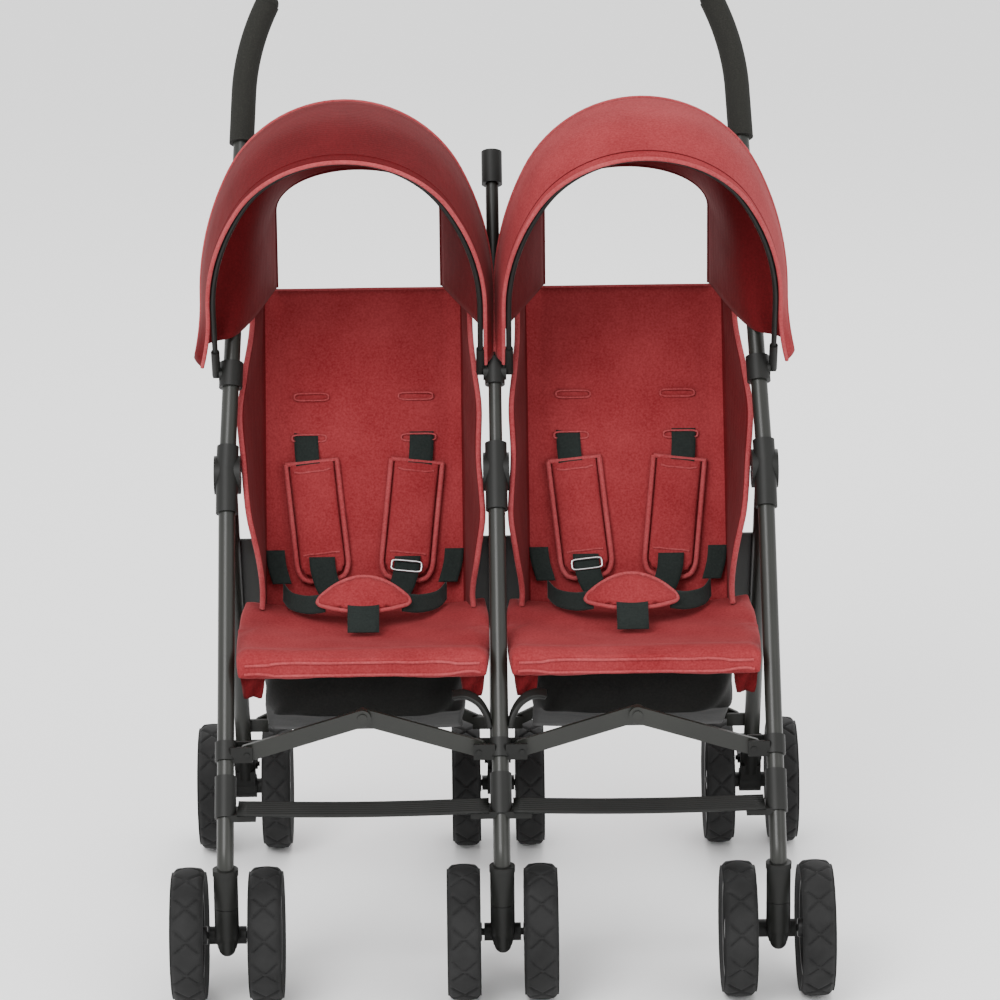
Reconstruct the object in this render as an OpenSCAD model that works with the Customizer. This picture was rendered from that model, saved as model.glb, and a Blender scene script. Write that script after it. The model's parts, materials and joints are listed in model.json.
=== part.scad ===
/* [Overall] */
// Distance from the centre frame to an outer side frame
bay_w = 306; // [290:1:330]
// Radius of every wheel
wheel_r = 76; // [70:1:80]
// Width of a front tyre
front_tyre_w = 35; // [28:1:37]
// Width of a rear tyre
rear_tyre_w = 32; // [26:1:34]
// Lateral travel of an outer side frame when the frame folds
fold_travel = 165; // [120:1:168]

/* [Side frame] */
// Outer diameter of the frame tubes
tube_d = 19; // [16:0.5:20]
// Outer diameter of the centre post
post_d = 15; // [13:0.5:16]
// Wall of every tube
tube_wall = 1.2; // [0.8:0.1:2]
// Height of the elbow, where front leg and push tube meet
elbow_z = 547; // [530:1:560]
// Height at which the foam grip begins
grip_z = 877; // [860:1:900]
// Diameter of the foam grip
grip_d = 29; // [25:0.5:32]
// Radius of the bend in the handle
handle_bend_r = 240; // [200:5:300]
// Angle of the bend in the handle
handle_bend = 27; // [15:1:32]

/* [Running gear] */
// Front axle to rear axle
wheelbase = 490; // [470:1:520]
// Distance that the front axle trails behind the swivel axis
trail = 22; // [15:1:26]
// Distance of a front wheel's middle from its leg
front_wheel_x = 43; // [42:0.5:48]
// Distance of a rear wheel's middle from its leg
rear_wheel_x = 38.5; // [38:0.5:42]
// Diameter of every axle
axle_d = 8; // [6:0.5:9]

/* [Seats] */
// From the side of a seat to the leg tube beside it
seat_side = 0.5; // [0.4:0.1:8]
// Depth of the seat cushion
seat_depth = 228; // [215:1:240]
// Height of the top of the seat cushion
seat_z = 372; // [355:1:376]
// Thickness of the seat cushion
seat_t = 30; // [18:1:34]
// Width of the backrest between its wings
back_w = 232; // [210:1:240]
// Length of the backrest
back_len = 373; // [330:1:380]
// Lean of the backrest from upright
back_lean = 26; // [20:1:30]
// Thickness of the backrest
back_t = 14; // [10:1:18]

/* [Canopy] */
// Height of the canopy's ridge over its pivot
hood_h = 317; // [305:1:330]
// How far the canopy's ridge reaches past half a bay on each side
hood_over = 13; // [12.8:0.1:14]
// Height of the canopy's arch above its straight sides
hood_rise = 225; // [200:1:240]
// Thickness of the canopy cloth
cloth_t = 2.4; // [1.6:0.1:3]
// Angle that the visor covers in front of the ridge
visor_angle = 27; // [20:1:30]

/* [Hidden] */
$fn = 48;

tube_r = tube_d / 2;
post_r = post_d / 2;
axle_r = axle_d / 2;
seat_gap = 0.1;          // between a tube and the plastic that holds it
run_gap = 0.08;          // radial running clearance of a pivot
link_gap = 0.5;          // between links that slide past each other
pin_r = 3;
swivel_pin_r = 5;

// side view points, as [y, z]
front_axle_y = -wheelbase / 2;
rear_axle_y = wheelbase / 2;
swivel_y = front_axle_y - trail;
leg_bottom = [swivel_y, 165];
elbow = [0, elbow_z];
leg_dir = unit(elbow - leg_bottom);
leg_lean = atan2(leg_dir[0], leg_dir[1]);
leg_bend_r = 60;
socket_z = [118, 163];   // bottom and top of the caster's socket
socket_r = tube_r + 4;
grip_lean = 16;          // the handles lean towards each other by this much
push_rise = [218, 330];  // from the elbow to the grip, as [y, z]
grip_y = push_rise[0] * (grip_z - elbow_z) / push_rise[1];

// rear leg, in its own plane: s runs down the leg from the pivot and n points backwards
rear_pivot = elbow + [26, -15];
rear_axle = [rear_axle_y, wheel_r];
rear_len = norm(rear_axle - rear_pivot);
rear_dir = unit(rear_axle - rear_pivot);
rear_tube_start = 24;
tongue_sweep = 19.2;     // radius of the slot that the leg's tongue swings in
rear_tube_end = rear_len - 52;

// scissor brace between two rear legs
brace_x = 22;            // from a leg to its brace pivot
brace_s = rear_len - 92; // lower pivot, down the rear leg
brace_rise = 165;
brace_reach = bay_w - 2 * brace_x;
brace_len = norm([brace_reach, brace_rise]);
brace_top_s = brace_s - sqrt(pow(brace_len, 2) - pow(brace_reach - fold_travel, 2));
brace_w = 16;
brace_t = 3;
brace_n = tube_r + 0.1;  // front of the tabs behind the tube
tab_t = 2.4;

// folding spreader between two front legs
spread_x = 24;
spread_z = 273;
spread_reach = bay_w / 2 - spread_x;
spread_rise = 39;
spread_t = 5.5;
spread_h = 19;
spread_y = leg_y(spread_z);

// footrest
foot_z = 220;
foot_depth = 44;
foot_t = 3.2;
foot_y = leg_y(foot_z);

// canopy pivot
clip = [post_line(640), 640];
clip_t = (clip[1] - elbow_z) / (grip_z - elbow_z);
bay_mid = bay_w / 2;
hood_half_w = bay_mid + hood_over;
hood_mid = hood_half_w + 1.2;
visor_in = 9;            // how much narrower and lower the front edge is than the ridge
visor_drop = 5;
visor_rise_drop = 8;     // how much less the front edge rises
bow_r = 3.2;
bow_lean = visor_angle - 1.5;
bow_half = hood_half_w - visor_in * bow_lean / visor_angle - cloth_t - bow_r - 0.9;
bow_top = hood_h - visor_drop * bow_lean / visor_angle - cloth_t - bow_r - 0.9;
bow_rise = hood_rise - 14;
bow_x = [hood_mid + bow_half, hood_mid - bow_half];   // the bow's feet, from the middle plane
post_top = [post_line(860), 860];

// seat
seat_front_y = -160;
seat_w = bay_w - tube_d - 2 * seat_side;
back_pivot = [seat_front_y + seat_depth + 0.5, seat_z - 10];
back_dir = [sin(back_lean), cos(back_lean)];

function unit(v) = v / norm(v);
function leg_y(z) = leg_bottom[0] + (z - leg_bottom[1]) * (elbow[0] - leg_bottom[0]) / (elbow[1] - leg_bottom[1]);
function post_line(z) = push_rise[0] * (z - elbow_z) / push_rise[1];
function at(x, p) = [x, p[0], p[1]];
function push_x(side, z) = side * (bay_w - grip_lean * (z - elbow_z) / (grip_z - elbow_z));

// a cylinder from a to b
module rod(a, b, r) {
    d = b - a;
    translate(a)
        rotate([0, acos(d[2] / norm(d)), atan2(d[1], d[0])])
            cylinder(h = norm(d), r = r);
}

// a cylinder along X from x0 to x1 at p = [y, z]
module xrod(x0, x1, p, r) {
    translate([min(x0, x1), p[0], p[1]])
        rotate([0, 90, 0])
            cylinder(h = abs(x1 - x0), r = r);
}

// a cylinder along Y from y0 to y1
module yrod(x, z, y0, y1, r) {
    translate([x, y1, z])
        rotate([90, 0, 0])
            cylinder(h = y1 - y0, r = r);
}

// an open tube from a to b
module pipe(a, b, r) {
    over = unit(b - a);
    difference() {
        rod(a, b, r);
        rod(a - over, b + over, r - tube_wall);
    }
}

// puts children, drawn with X across, Y backwards from the leg and Z up it, in the rear leg's plane
module on_rear_leg(x) {
    translate(at(x, rear_pivot))
        rotate([atan2(rear_dir[0], -rear_dir[1]), 0, 0])
            children();
}

// ---------------------------------------------------------------- frame tubes

// children are drawn along +Z, down the leg, and bend towards +X to upright from the origin on
module at_leg(x) {
    start = leg_bottom + leg_bend_r * tan(leg_lean / 2) * leg_dir;
    multmatrix([
        [0, 1, 0, x],
        [leg_dir[1], 0, -leg_dir[0], start[0]],
        [-leg_dir[0], 0, -leg_dir[1], start[1]],
        [0, 0, 0, 1]
    ]) children();
}

// the leg as a solid of radius r that reaches that far above its bend
module leg_solid(r, reach) {
    translate([0, 0, -reach]) cylinder(h = reach, r = r);
    translate([leg_bend_r, 0, 0])
        rotate([-90, 0, 0])
            rotate([0, 0, 180])
                rotate_extrude(angle = leg_lean)
                    translate([leg_bend_r, 0]) circle(r);
}

module front_leg(x) {
    reach = round(norm(elbow - leg_bottom) - leg_bend_r * tan(leg_lean / 2) - 6);
    color("#3b3d38")
        at_leg(x)
            difference() {
                leg_solid(tube_r, reach);
                leg_solid(tube_r - tube_wall, reach + 1);
            }
}

// the frame at the start of the handle's bend, as columns: towards the bend, sideways, along the tube
function push_start(side) = [side * bay_w, elbow[0], elbow[1]];
function push_end(side) = [push_x(side, grip_z), grip_y, grip_z];
function push_dir(side) = unit(push_end(side) - push_start(side));
function bend_dir(side) =
    let (d = push_dir(side), w = [-side * 0.9, -0.4, 0.2])
    unit(w - (w * d) * d);

// children are drawn along +Z and bend towards +X
module at_handle(side, along) {
    d = push_dir(side);
    b = bend_dir(side);
    c = cross(d, b);
    p = push_end(side) + along * d;
    multmatrix([
        [b[0], c[0], d[0], p[0]],
        [b[1], c[1], d[1], p[1]],
        [b[2], c[2], d[2], p[2]],
        [0, 0, 0, 1]
    ])
        children();
}

// a rod of radius r swept round the handle's bend
module bend(r) {
    translate([handle_bend_r, 0, grip_straight])
        rotate([-90, 0, 0])
            rotate([0, 0, 180])
                rotate_extrude(angle = handle_bend)
                    translate([handle_bend_r, 0]) circle(r);
}

grip_straight = 62;

// the handle as a solid of radius r, from the distance start behind the grip's lower end
module handle_solid(r, start) {
    translate([0, 0, start]) cylinder(h = grip_straight - start, r = r);
    bend(r);
}

module push_tube(side) {
    start = 9 - norm(push_end(side) - push_start(side));
    color("#3b3d38")
        at_handle(side, 0)
            difference() {
                handle_solid(tube_r, start);
                handle_solid(tube_r - tube_wall, start - 1);
            }
}

module grip(side) {
    color("#2b2c2a")
        at_handle(side, 0)
            difference() {
                union() {
                    handle_solid(grip_d / 2, 0);
                    handle_tip() grip_cap();
                }
                handle_solid(tube_r + seat_gap, -1);
            }
}

// puts children at the end of the bend, along the tube
module handle_tip() {
    translate([handle_bend_r * (1 - cos(handle_bend)), 0, grip_straight + handle_bend_r * sin(handle_bend)])
        rotate([0, handle_bend, 0])
            children();
}

module grip_cap() {
    r = grip_d / 2;
    rotate_extrude()
        polygon([[0, -3], [r - 1.5, -3], [r - 1.5, 3], [r - 3, 7], [r - 6, 10], [0, 11]]);
}

module centre_post() {
    color("#3b3d38")
        pipe(at(0, elbow + 9 * unit(push_rise)), at(0, post_top), post_r);
}

// ---------------------------------------------------------------- plastic fittings

// moulded elbow that joins front leg and push tube, with ears for the rear leg's pin
module elbow_body(x, top, top_r) {
    boss = elbow + [8, -10];
    color("#262825") {
        difference() {
            union() {
                rod(at(x, elbow - 54 * leg_dir), at(x, elbow + 4 * leg_dir), tube_r + 3);
                rod(at(x, elbow), at(x, elbow) + 26 * top, tube_r + 3);
                xrod(x - 15, x + 15, boss, 22);
                xrod(x - 13, x + 13, rear_pivot, 11.5);
            }
            rod(at(x, elbow - 60 * leg_dir), at(x, elbow - 5 * leg_dir), tube_r + seat_gap);
            rod(at(x, elbow) + 8 * top, at(x, elbow) + 40 * top, top_r + seat_gap);
            xrod(x - 7.1, x + 7.1, rear_pivot, tongue_sweep);
            xrod(x - 20, x + 20, rear_pivot, 4 + 0.02);
        }
        xrod(x - 14, x + 14, rear_pivot, 4);
    }
}

// caster socket, footrest sleeve and spreader bracket of one front leg
module leg_fittings(x, sides) {
    color("#22231f") {
        difference() {
            union() {
                translate([x, swivel_y, socket_z[0]])
                    cylinder(h = socket_z[1] - socket_z[0] - 7, r = socket_r);
                translate([x, swivel_y, socket_z[1] - 7]) cylinder(h = 7, r = socket_r + 0.8);
            }
            at_leg(x) leg_solid(tube_r + seat_gap, 60);
            translate([x, swivel_y, socket_z[0] - 11]) cylinder(h = 27, r = swivel_pin_r + run_gap);
        }
        difference() {
            union() {
                rod(at(x, [foot_y, foot_z] - 12 * leg_dir), at(x, [foot_y, foot_z] + 36 * leg_dir), tube_r + 2.5);
                for (s = sides)
                    translate([x + s * 18, foot_y, foot_z - 7])
                        cube([32, 30, 8], center = true);
            }
            rod(at(x, [foot_y, foot_z] - 30 * leg_dir), at(x, [foot_y, foot_z] + 50 * leg_dir), tube_r + seat_gap);
        }
        difference() {
            union() {
                rod(at(x, [spread_y, spread_z] - 11 * leg_dir), at(x, [spread_y, spread_z] + 11 * leg_dir), tube_r + 2.5);
                for (s = sides) {
                    translate([x + s * 18, spread_y - 10, spread_z])
                        cube([24, 4, 18], center = true);
                    translate([x + s * 18, spread_y + 10, spread_z])
                        cube([24, 4, 18], center = true);
                }
            }
            rod(at(x, [spread_y, spread_z] - 30 * leg_dir), at(x, [spread_y, spread_z] + 30 * leg_dir), tube_r + seat_gap);
            for (s = sides)
                yrod(x + s * spread_x, spread_z, spread_y - 20, spread_y + 20, pin_r + 0.02);
        }
        for (s = sides)
            yrod(x + s * spread_x, spread_z, spread_y - 13.5, spread_y + 13.5, pin_r);
    }
}

// collar on the push tube that carries the canopy's bow, with one pin for each side in sides
module canopy_clip(x, dir, r, boss_x, pin_x, sides) {
    color("#262825") {
        difference() {
            union() {
                rod(at(x, clip) - 15 * dir, at(x, clip) + 15 * dir, r + 4);
                for (s = sides) xrod(x, x + s * boss_x, clip, 9);
            }
            rod(at(x, clip) - 40 * dir, at(x, clip) + 40 * dir, r + seat_gap);
        }
        for (s = sides) xrod(x + s * (boss_x + 0.02), x + s * pin_x, clip, pin_r);
    }
}

module side_fittings(side) {
    x = push_x(side, clip[1]);
    leg_fittings(side * bay_w, [-side]);
    canopy_clip(x, push_dir(side), tube_r, bow_x[0] - abs(x) - 3, bow_x[0] - abs(x) + 4, [side]);
}

module centre_fittings() {
    leg_fittings(0, [-1, 1]);
    canopy_clip(0, [0, unit(push_rise)[0], unit(push_rise)[1]], post_r, bow_x[1] - 3, bow_x[1] + 4, [-1, 1]);
    color("#2b2c2a")
        difference() {
            rod(at(0, post_top - 34 * unit(push_rise)), at(0, post_top + 6 * unit(push_rise)), 12);
            rod(at(0, post_top - 60 * unit(push_rise)), at(0, post_top + 0.1 * unit(push_rise)), post_r + seat_gap);
        }
}

// ---------------------------------------------------------------- rear legs

// y and z here run along the rear leg's plane, so a plate is drawn behind the tube
module plate(x0, x1, n0, n1, s0, s1) {
    translate([min(x0, x1), n0, -s1]) cube([abs(x1 - x0), n1 - n0, s1 - s0]);
}

// a headed pin whose shank is h long, standing on z = 0
module rivet(h) {
    rotate_extrude()
        polygon([[0, 0], [pin_r, 0], [pin_r, h], [5, h], [5, h + 1], [4.2, h + 1.6], [0, h + 1.6]]);
}

module rear_leg(x, sides) {
    color("#34362f") {
        pipe(at(x, rear_pivot + rear_tube_start * rear_dir), at(x, rear_pivot + rear_tube_end * rear_dir), tube_r);
        difference() {
            union() {
                xrod(x - 6.6, x + 6.6, rear_pivot, 11);
                on_rear_leg(x) plate(-6.5, 6.5, -7, 7, 0, rear_tube_start - 0.3);
                on_rear_leg(x) translate([0, 0, -rear_tube_start - 12])
                    cylinder(h = 18, r = tube_r - tube_wall - seat_gap);
            }
            xrod(x - 10, x + 10, rear_pivot, 4 + run_gap);
        }
        x0 = min([for (s = sides) min(-s * 2, s * (brace_x + 8))]);
        x1 = max([for (s = sides) max(-s * 2, s * (brace_x + 8))]);
        on_rear_leg(x) plate(x0, x1, brace_n, brace_n + tab_t, brace_top_s - 10, brace_s - brace_rise + 12);
        on_rear_leg(x) plate(x0, x1, brace_n, brace_n + tab_t, brace_s - 10, brace_s + 10);
        for (s = sides)
            on_rear_leg(x) translate([s * brace_x, brace_n + 1, -brace_s])
                rotate([-90, 0, 0])
                    rivet(2 * brace_t + tab_t + 0.4);
    }
}

module rear_axle_bracket(x) {
    color("#22231f")
        difference() {
            union() {
                on_rear_leg(x) translate([0, 0, -rear_len + 20]) cylinder(h = 46, r = tube_r + 3.2);
                on_rear_leg(x) translate([-12, -11, -rear_len]) cube([24, 22, 34]);
                xrod(x - 13, x + 13, rear_axle, 14);
                xrod(x - 19.5, x + 19.5, rear_axle, 9);
                translate([x - 7, rear_axle[0] + 4, rear_axle[1] + 12]) cube([14, brake_pivot[0] - rear_axle[0] + 2, 14]);
            }
            on_rear_leg(x) translate([0, 0, -rear_tube_end - 1]) cylinder(h = 40, r = tube_r + seat_gap);
            xrod(x - 30, x + 30, rear_axle, axle_r + 0.02);
            xrod(x - 30, x + 30, brake_pivot, pin_r + 0.02);
        }
    color("#9a9c98") {
        xrod(x - rear_wheel_x - 15, x + rear_wheel_x + 15, rear_axle, axle_r);
        xrod(x - 16, x + 16, brake_pivot, pin_r);
    }
}

brake_pivot = rear_axle + [26, 19];

module brake_pedal(x) {
    color("#1d1e1b")
        difference() {
            union() {
                for (s = [-1, 1])
                    translate([x + s * 10.5 - 3, brake_pivot[0], brake_pivot[1]])
                        pedal_side(6);
                translate([x - 18, brake_pivot[0], brake_pivot[1]])
                    rotate([90, 0, 90])
                        linear_extrude(36)
                            polygon([[15, 4.8], [38, 14], [36, 18.6], [13, 9.4]]);
            }
            xrod(x - 20, x + 20, brake_pivot, pin_r + run_gap);
        }
}

// one cheek of the pedal, w thick along X
module pedal_side(w) {
    rotate([90, 0, 90])
        linear_extrude(w)
            polygon([[-6, -3], [-3, -6], [3, -6], [6, -3], [30, 8], [28, 15.5], [3, 6], [-3, 6], [-6, 3]]);
}

// ---------------------------------------------------------------- wheels and casters

nose_r = 9.4;
nose_z = 71;
arm_half = 8.6;

module caster(x) {
    axle = [front_axle_y, wheel_r];
    color("#1f201d")
        difference() {
            union() {
                translate([x, swivel_y, 0]) rotate_extrude() polygon([
                    [0, nose_z - 4], [nose_r + 1, nose_z - 1], [socket_r, nose_z + 12],
                    [socket_r, socket_z[0] - 0.6], [swivel_pin_r, socket_z[0] - 0.6],
                    [swivel_pin_r, socket_z[0] + 15], [0, socket_z[0] + 15]
                ]);
                translate([x, swivel_y - 4, nose_z]) rotate_extrude() polygon(concat(
                    [[0, 22], [0, -nose_r]],
                    [for (a = [-75 : 15 : 0]) nose_r * [cos(a), sin(a)]],
                    [[nose_r, 22]]
                ));
                translate([x - arm_half, swivel_y - 4, nose_z - 4]) cube([2 * arm_half, trail + 4, 24]);
                xrod(x - arm_half, x + arm_half, axle, 14);
                xrod(x - 20.5, x + 20.5, axle, 10);
            }
            xrod(x - 30, x + 30, axle, axle_r + 0.02);
        }
    color("#9a9c98")
        xrod(x - front_wheel_x - 15, x + front_wheel_x + 15, axle, axle_r);
}

// a foam tyre on a spoked rim; side tells which way the leg lies
module wheel(x, p, w, hub_in, side) {
    rim_r = wheel_r - 18;
    spokes = 6;
    translate(at(x, p)) {
        color("#1a1a1a") rotate([0, 90, 0])
            rotate_extrude($fn = 96)
                polygon([
                    [rim_r + 0.1, -w / 2 + 3], [rim_r + 6, -w / 2], [wheel_r - 5, -w / 2],
                    [wheel_r - 1.5, -w / 2 + 3], [wheel_r, -w / 2 + 9], [wheel_r, w / 2 - 9],
                    [wheel_r - 1.5, w / 2 - 3], [wheel_r - 5, w / 2], [rim_r + 6, w / 2],
                    [rim_r + 0.1, w / 2 - 3]
                ]);
        color("#232323")
            difference() {
                union() {
                    rotate([0, 90, 0]) difference() {
                        cylinder(h = w - 8, r = rim_r, center = true, $fn = 96);
                        cylinder(h = w, r = rim_r - 4, center = true, $fn = 96);
                    }
                    xrod(-side * 12, side * hub_in, [0, 0], 12);
                    for (k = [0 : spokes - 1])
                        rotate([k * 360 / spokes, 0, 0])
                            translate([0, 0, (rim_r + 6) / 2])
                                cube([10, 11, rim_r - 8], center = true);
                }
                xrod(-40, 40, [0, 0], axle_r + run_gap);
            }
    }
}

module front_wheel(leg, s) {
    wheel(leg * bay_w + s * front_wheel_x, [front_axle_y, wheel_r], front_tyre_w, front_wheel_x - 21.5, -s);
}

module rear_wheel(leg, s) {
    wheel(leg * bay_w + s * rear_wheel_x, rear_axle, rear_tyre_w, rear_wheel_x - 20.5, -s);
}

// ---------------------------------------------------------------- folding links

// one bar of a scissor brace, drawn from its lower pivot; to is the direction that it leans, layer is 0 or 1
module brace(leg, to, layer) {
    n0 = brace_n + tab_t + 0.3 + layer * (brace_t + link_gap);
    angle = atan2(brace_rise, brace_reach);
    color("#2f312c")
        on_rear_leg(leg * bay_w)
            translate([to * brace_x, n0, -brace_s])
                rotate([0, -to * angle + (to < 0 ? 180 : 0), 0])
                    difference() {
                        union() {
                            translate([0, 0, -brace_w / 2]) cube([brace_len, brace_t, brace_w]);
                            for (x = [0, brace_len])
                                translate([x, brace_t, 0]) rotate([90, 0, 0]) cylinder(h = brace_t, r = brace_w / 2);
                            translate([brace_len / 2, layer == 1 ? brace_t + 1.8 : 0.1, 0]) rotate([90, 0, 0])
                                cylinder(h = 2, r = 5);
                        }
                        translate([0, 10, 0]) rotate([90, 0, 0]) cylinder(h = 20, r = pin_r + run_gap);
                    }
}

// one link of the folding spreader, drawn from the pivot on its leg; to is the direction of the hub
module spreader(leg, to, layer) {
    y0 = spread_y - spread_t - link_gap / 2 + layer * (spread_t + link_gap);
    len = norm([spread_reach, spread_rise]);
    angle = atan2(spread_rise, spread_reach);
    color("#34362f")
        translate([leg * bay_w + to * spread_x, y0, spread_z])
            rotate([0, -to * angle + (to < 0 ? 180 : 0), 0])
                difference() {
                    union() {
                        translate([0, 0, -spread_h / 2]) cube([len, spread_t, spread_h]);
                        for (x = [0, len])
                            translate([x, spread_t, 0]) rotate([90, 0, 0]) cylinder(h = spread_t, r = spread_h / 2);
                        translate([len, layer == 0 ? 0.1 : spread_t + 1.9, 0]) rotate([90, 0, 0])
                            cylinder(h = 2, r = 5.5);
                    }
                    translate([0, 20, 0]) rotate([90, 0, 0]) cylinder(h = 40, r = pin_r + run_gap);
                }
}

// ---------------------------------------------------------------- soft goods

// a slab with rounded long edges, from low corner a to high corner b
module pad(a, b, r) {
    hull()
        for (y = [a[1] + r, b[1] - r], z = [a[2] + r, b[2] - r])
            xrod(a[0], b[0], [y, z], r, $fn = 32);
}

module seat(side) {
    x0 = side * (bay_mid - seat_w / 2);
    color("#9d2b31")
        pad([min(x0, x0 + side * seat_w), seat_front_y, seat_z - seat_t],
            [max(x0, x0 + side * seat_w), seat_front_y + seat_depth, seat_z], 10);
}

// draws children with X across, Y out of the backrest's rear face and Z up the backrest
module on_backrest(side) {
    translate([side * bay_mid, back_pivot[0], back_pivot[1]])
        rotate([-back_lean, 0, 0])
            children();
}

wing_y = 130;            // how far a wing stands forward at the seat
wing_h = 285;
wing_x = 135;            // and how far its front edge is from the seat's middle

module backrest(side) {
    color("#8f262c")
        on_backrest(side) {
            union() {
                translate([-back_w / 2, 0, 0]) cube([back_w, back_t, back_len]);
                for (s = [-1, 1])
                    wing(s);
            }
        }
}

// a side wing: thin wall from the backrest's edge forwards, splayed outwards
module wing(s) {
    splay = atan2(wing_x - back_w / 2, wing_y);
    translate([s * back_w / 2, 0, 0])
        rotate([0, 0, s * splay])
            translate([s > 0 ? -3 : 0, 0, 0])
                rotate([0, 90, 0])
                    rotate([0, 0, 90])
                        linear_extrude(3)
                            polygon([[2, 12], [2, wing_h + 40], [-30, wing_h + 10], [-wing_y * 0.75, wing_h - 90], [-wing_y, 90], [-wing_y, 70], [-40, 12]]);
}

shoulder_x = 47;
harness_low = 26;        // lower end of the shoulder pads, up the backrest
strap_w = 28;

module harness(side) {
    color("#a12f35")
        on_backrest(side)
            for (s = [-1, 1])
                translate([s * shoulder_x, -10.3, harness_low])
                    rotate([0, s * 6, 0])
                        translate([-28, 0, 0]) pad_block([56, 10, 138]);
    color("#22241f")
        on_backrest(side)
            for (s = [-1, 1]) {
                translate([s * shoulder_x + s * 15, -1.3, harness_low + 152]) cube([strap_w, 2, 28], center = true);
                translate([s * 96 - strap_w / 2, -2.3, 20]) cube([strap_w, 2, 46]);
            }
}

// an upright cushion block with rounded edges
module pad_block(size) {
    r = 4.5;
    hull()
        for (x = [r, size[0] - r], y = [r, size[1] - r])
            translate([x, y, 0]) cylinder(h = size[2], r = r, $fn = 24);
}

module crotch_buckles() {
    for (side = [-1, 1])
        translate([side * bay_mid, seat_front_y + 96, seat_z + 2.1])
            rotate([-48, 0, 0]) {
                color("#22241f") translate([-15, 0, 0]) cube([30, 2.4, 40]);
                color("#1c1d1b") translate([-20, -5, 40.3]) cube([40, 12, 34]);
            }
}

// ---------------------------------------------------------------- canopy

side_steps = 5;
crown_steps = 10;
arc_steps = 2 * side_steps + crown_steps;

// a three-centred arch: radius of its sides, radius of its crown and the angle where they meet
function side_r(half) = 1.9 * half;
function crown_r(half, rise) = let (s = side_r(half))
    (s * s - pow(s - half, 2) - rise * rise) / (2 * (s - rise));
function meet(half, rise) = atan2(rise - crown_r(half, rise), side_r(half) - half);

// points of the arch as [x, height] from one spring to the other
function arch(half, rise) =
    let (s = side_r(half), c = crown_r(half, rise), turn = meet(half, rise))
    concat(
        [for (i = [0 : side_steps]) let (a = turn * i / side_steps)
            [half - s + s * cos(a), s * sin(a)]],
        [for (i = [1 : crown_steps - 1]) let (a = turn + (180 - 2 * turn) * i / crown_steps)
            [c * cos(a), rise - c + c * sin(a)]],
        [for (i = [side_steps : -1 : 0]) let (a = turn * i / side_steps)
            [s - half - s * cos(a), s * sin(a)]]
    );

// an ellipse of as many points, for the window
function low_arch(half, rise) =
    [for (i = [0 : arc_steps]) let (a = i * 180 / arc_steps) [half * cos(a), rise * sin(a)]];

// a hoop as [x, height]: up the outer side, round the arch and down the inner side
function hoop(mid, half, top, rise, foot, points) =
    concat(
        [[mid + half, foot]],
        [for (p = points) [mid + p[0], top - rise + p[1]]],
        [[mid - half, foot]]
    );

// the hoop's points in the row frame, in a plane leaning by angle backwards through the clip
function leaning(side, points, angle) =
    [for (p = points) [side * p[0], clip[0] + p[1] * sin(angle), clip[1] + p[1] * cos(angle)]];

// a closed shell between two stacks of hoops, each a list of equal lists of points
module shell(outer, inner) {
    rows = len(outer);
    cols = len(outer[0]);
    total = rows * cols;
    pts = concat([for (r = outer) each r], [for (r = inner) each r]);
    quads = concat(
        [for (i = [0 : rows - 2], j = [0 : cols - 2])
            let (a = i * cols + j) [a, a + 1, a + cols + 1, a + cols]],
        [for (i = [0 : rows - 2], j = [0 : cols - 2])
            let (a = total + i * cols + j) [a, a + cols, a + cols + 1, a + 1]],
        [for (j = [0 : cols - 2]) [j, total + j, total + j + 1, j + 1]],
        [for (j = [0 : cols - 2]) let (a = (rows - 1) * cols + j) [a, a + 1, total + a + 1, total + a]],
        [for (i = [0 : rows - 2]) let (a = i * cols) [a, a + cols, total + a + cols, total + a]],
        [for (i = [0 : rows - 2]) let (a = i * cols + cols - 1) [a, total + a, total + a + cols, a + cols]]
    );
    faces = [for (q = quads) each [[q[0], q[1], q[2]], [q[0], q[2], q[3]]]];
    polyhedron(points = pts, faces = faces);
}

foot_r = 34;             // cloth ends this far from the pivot
ridge_gap = 0.25;        // from the ridge to the edge of each cloth

module visor(side) {
    steps = 4;
    function row(i, t) =
        let (half = hood_half_w - t - visor_in * i / steps, rise = hood_rise - t - visor_rise_drop * i / steps)
        [for (p = leaning(side,
            hoop(hood_mid, half, hood_h - t - visor_drop * i / steps, rise, foot_r, arch(half, rise)),
            -visor_angle * i / steps)) p - [0, ridge_gap, 0]];
    outer = [for (i = [0 : steps]) row(i, 0)];
    inner = [for (i = [0 : steps]) row(i, cloth_t)];
    color("#a5323a")
        if (side < 0) shell(inner, outer);
        else shell(outer, inner);
}

// the fixed rear part, from the ridge to the open rear window: lean, half width, middle, top, rise, foot
hood_rows = [
    [0, hood_half_w, hood_mid, hood_h, hood_rise, foot_r],
    [13, hood_half_w - 9, hood_mid - 3, hood_h - 3, hood_rise - 12, foot_r + 4],
    [25, bay_mid - tube_r - 7.5, bay_mid - 5, hood_h - 14, hood_rise - 37, foot_r + 18]
];
window_half = 97;
window_y = 236;
window_top = 842;
window_foot = 712;
window_rise = 50;

module hood(side) {
    function row(k, t) =
        let (h = hood_rows[k], half = h[1] - t, rise = h[4] - t)
        [for (p = leaning(side, hoop(h[2], half, h[3] - t, rise, h[5], arch(half, rise)), h[0]))
            p + [0, ridge_gap, 0]];
    function rear(t) =
        let (half = window_half + cloth_t - t, rise = window_rise + cloth_t - t)
        [for (p = hoop(bay_mid + 4, half, window_top + cloth_t - t, rise, window_foot, low_arch(half, rise)))
            [side * p[0], window_y, p[1]]];
    outer = [row(0, 0), row(1, 0), row(2, 0), rear(0)];
    inner = [row(0, cloth_t), row(1, cloth_t), row(2, cloth_t), rear(cloth_t)];
    color("#8b2229")
        if (side < 0) shell(outer, inner);
        else shell(inner, outer);
}

bow_sides = 12;
bow_start = 20;          // the round part of the bow starts this high above the pivot

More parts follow.
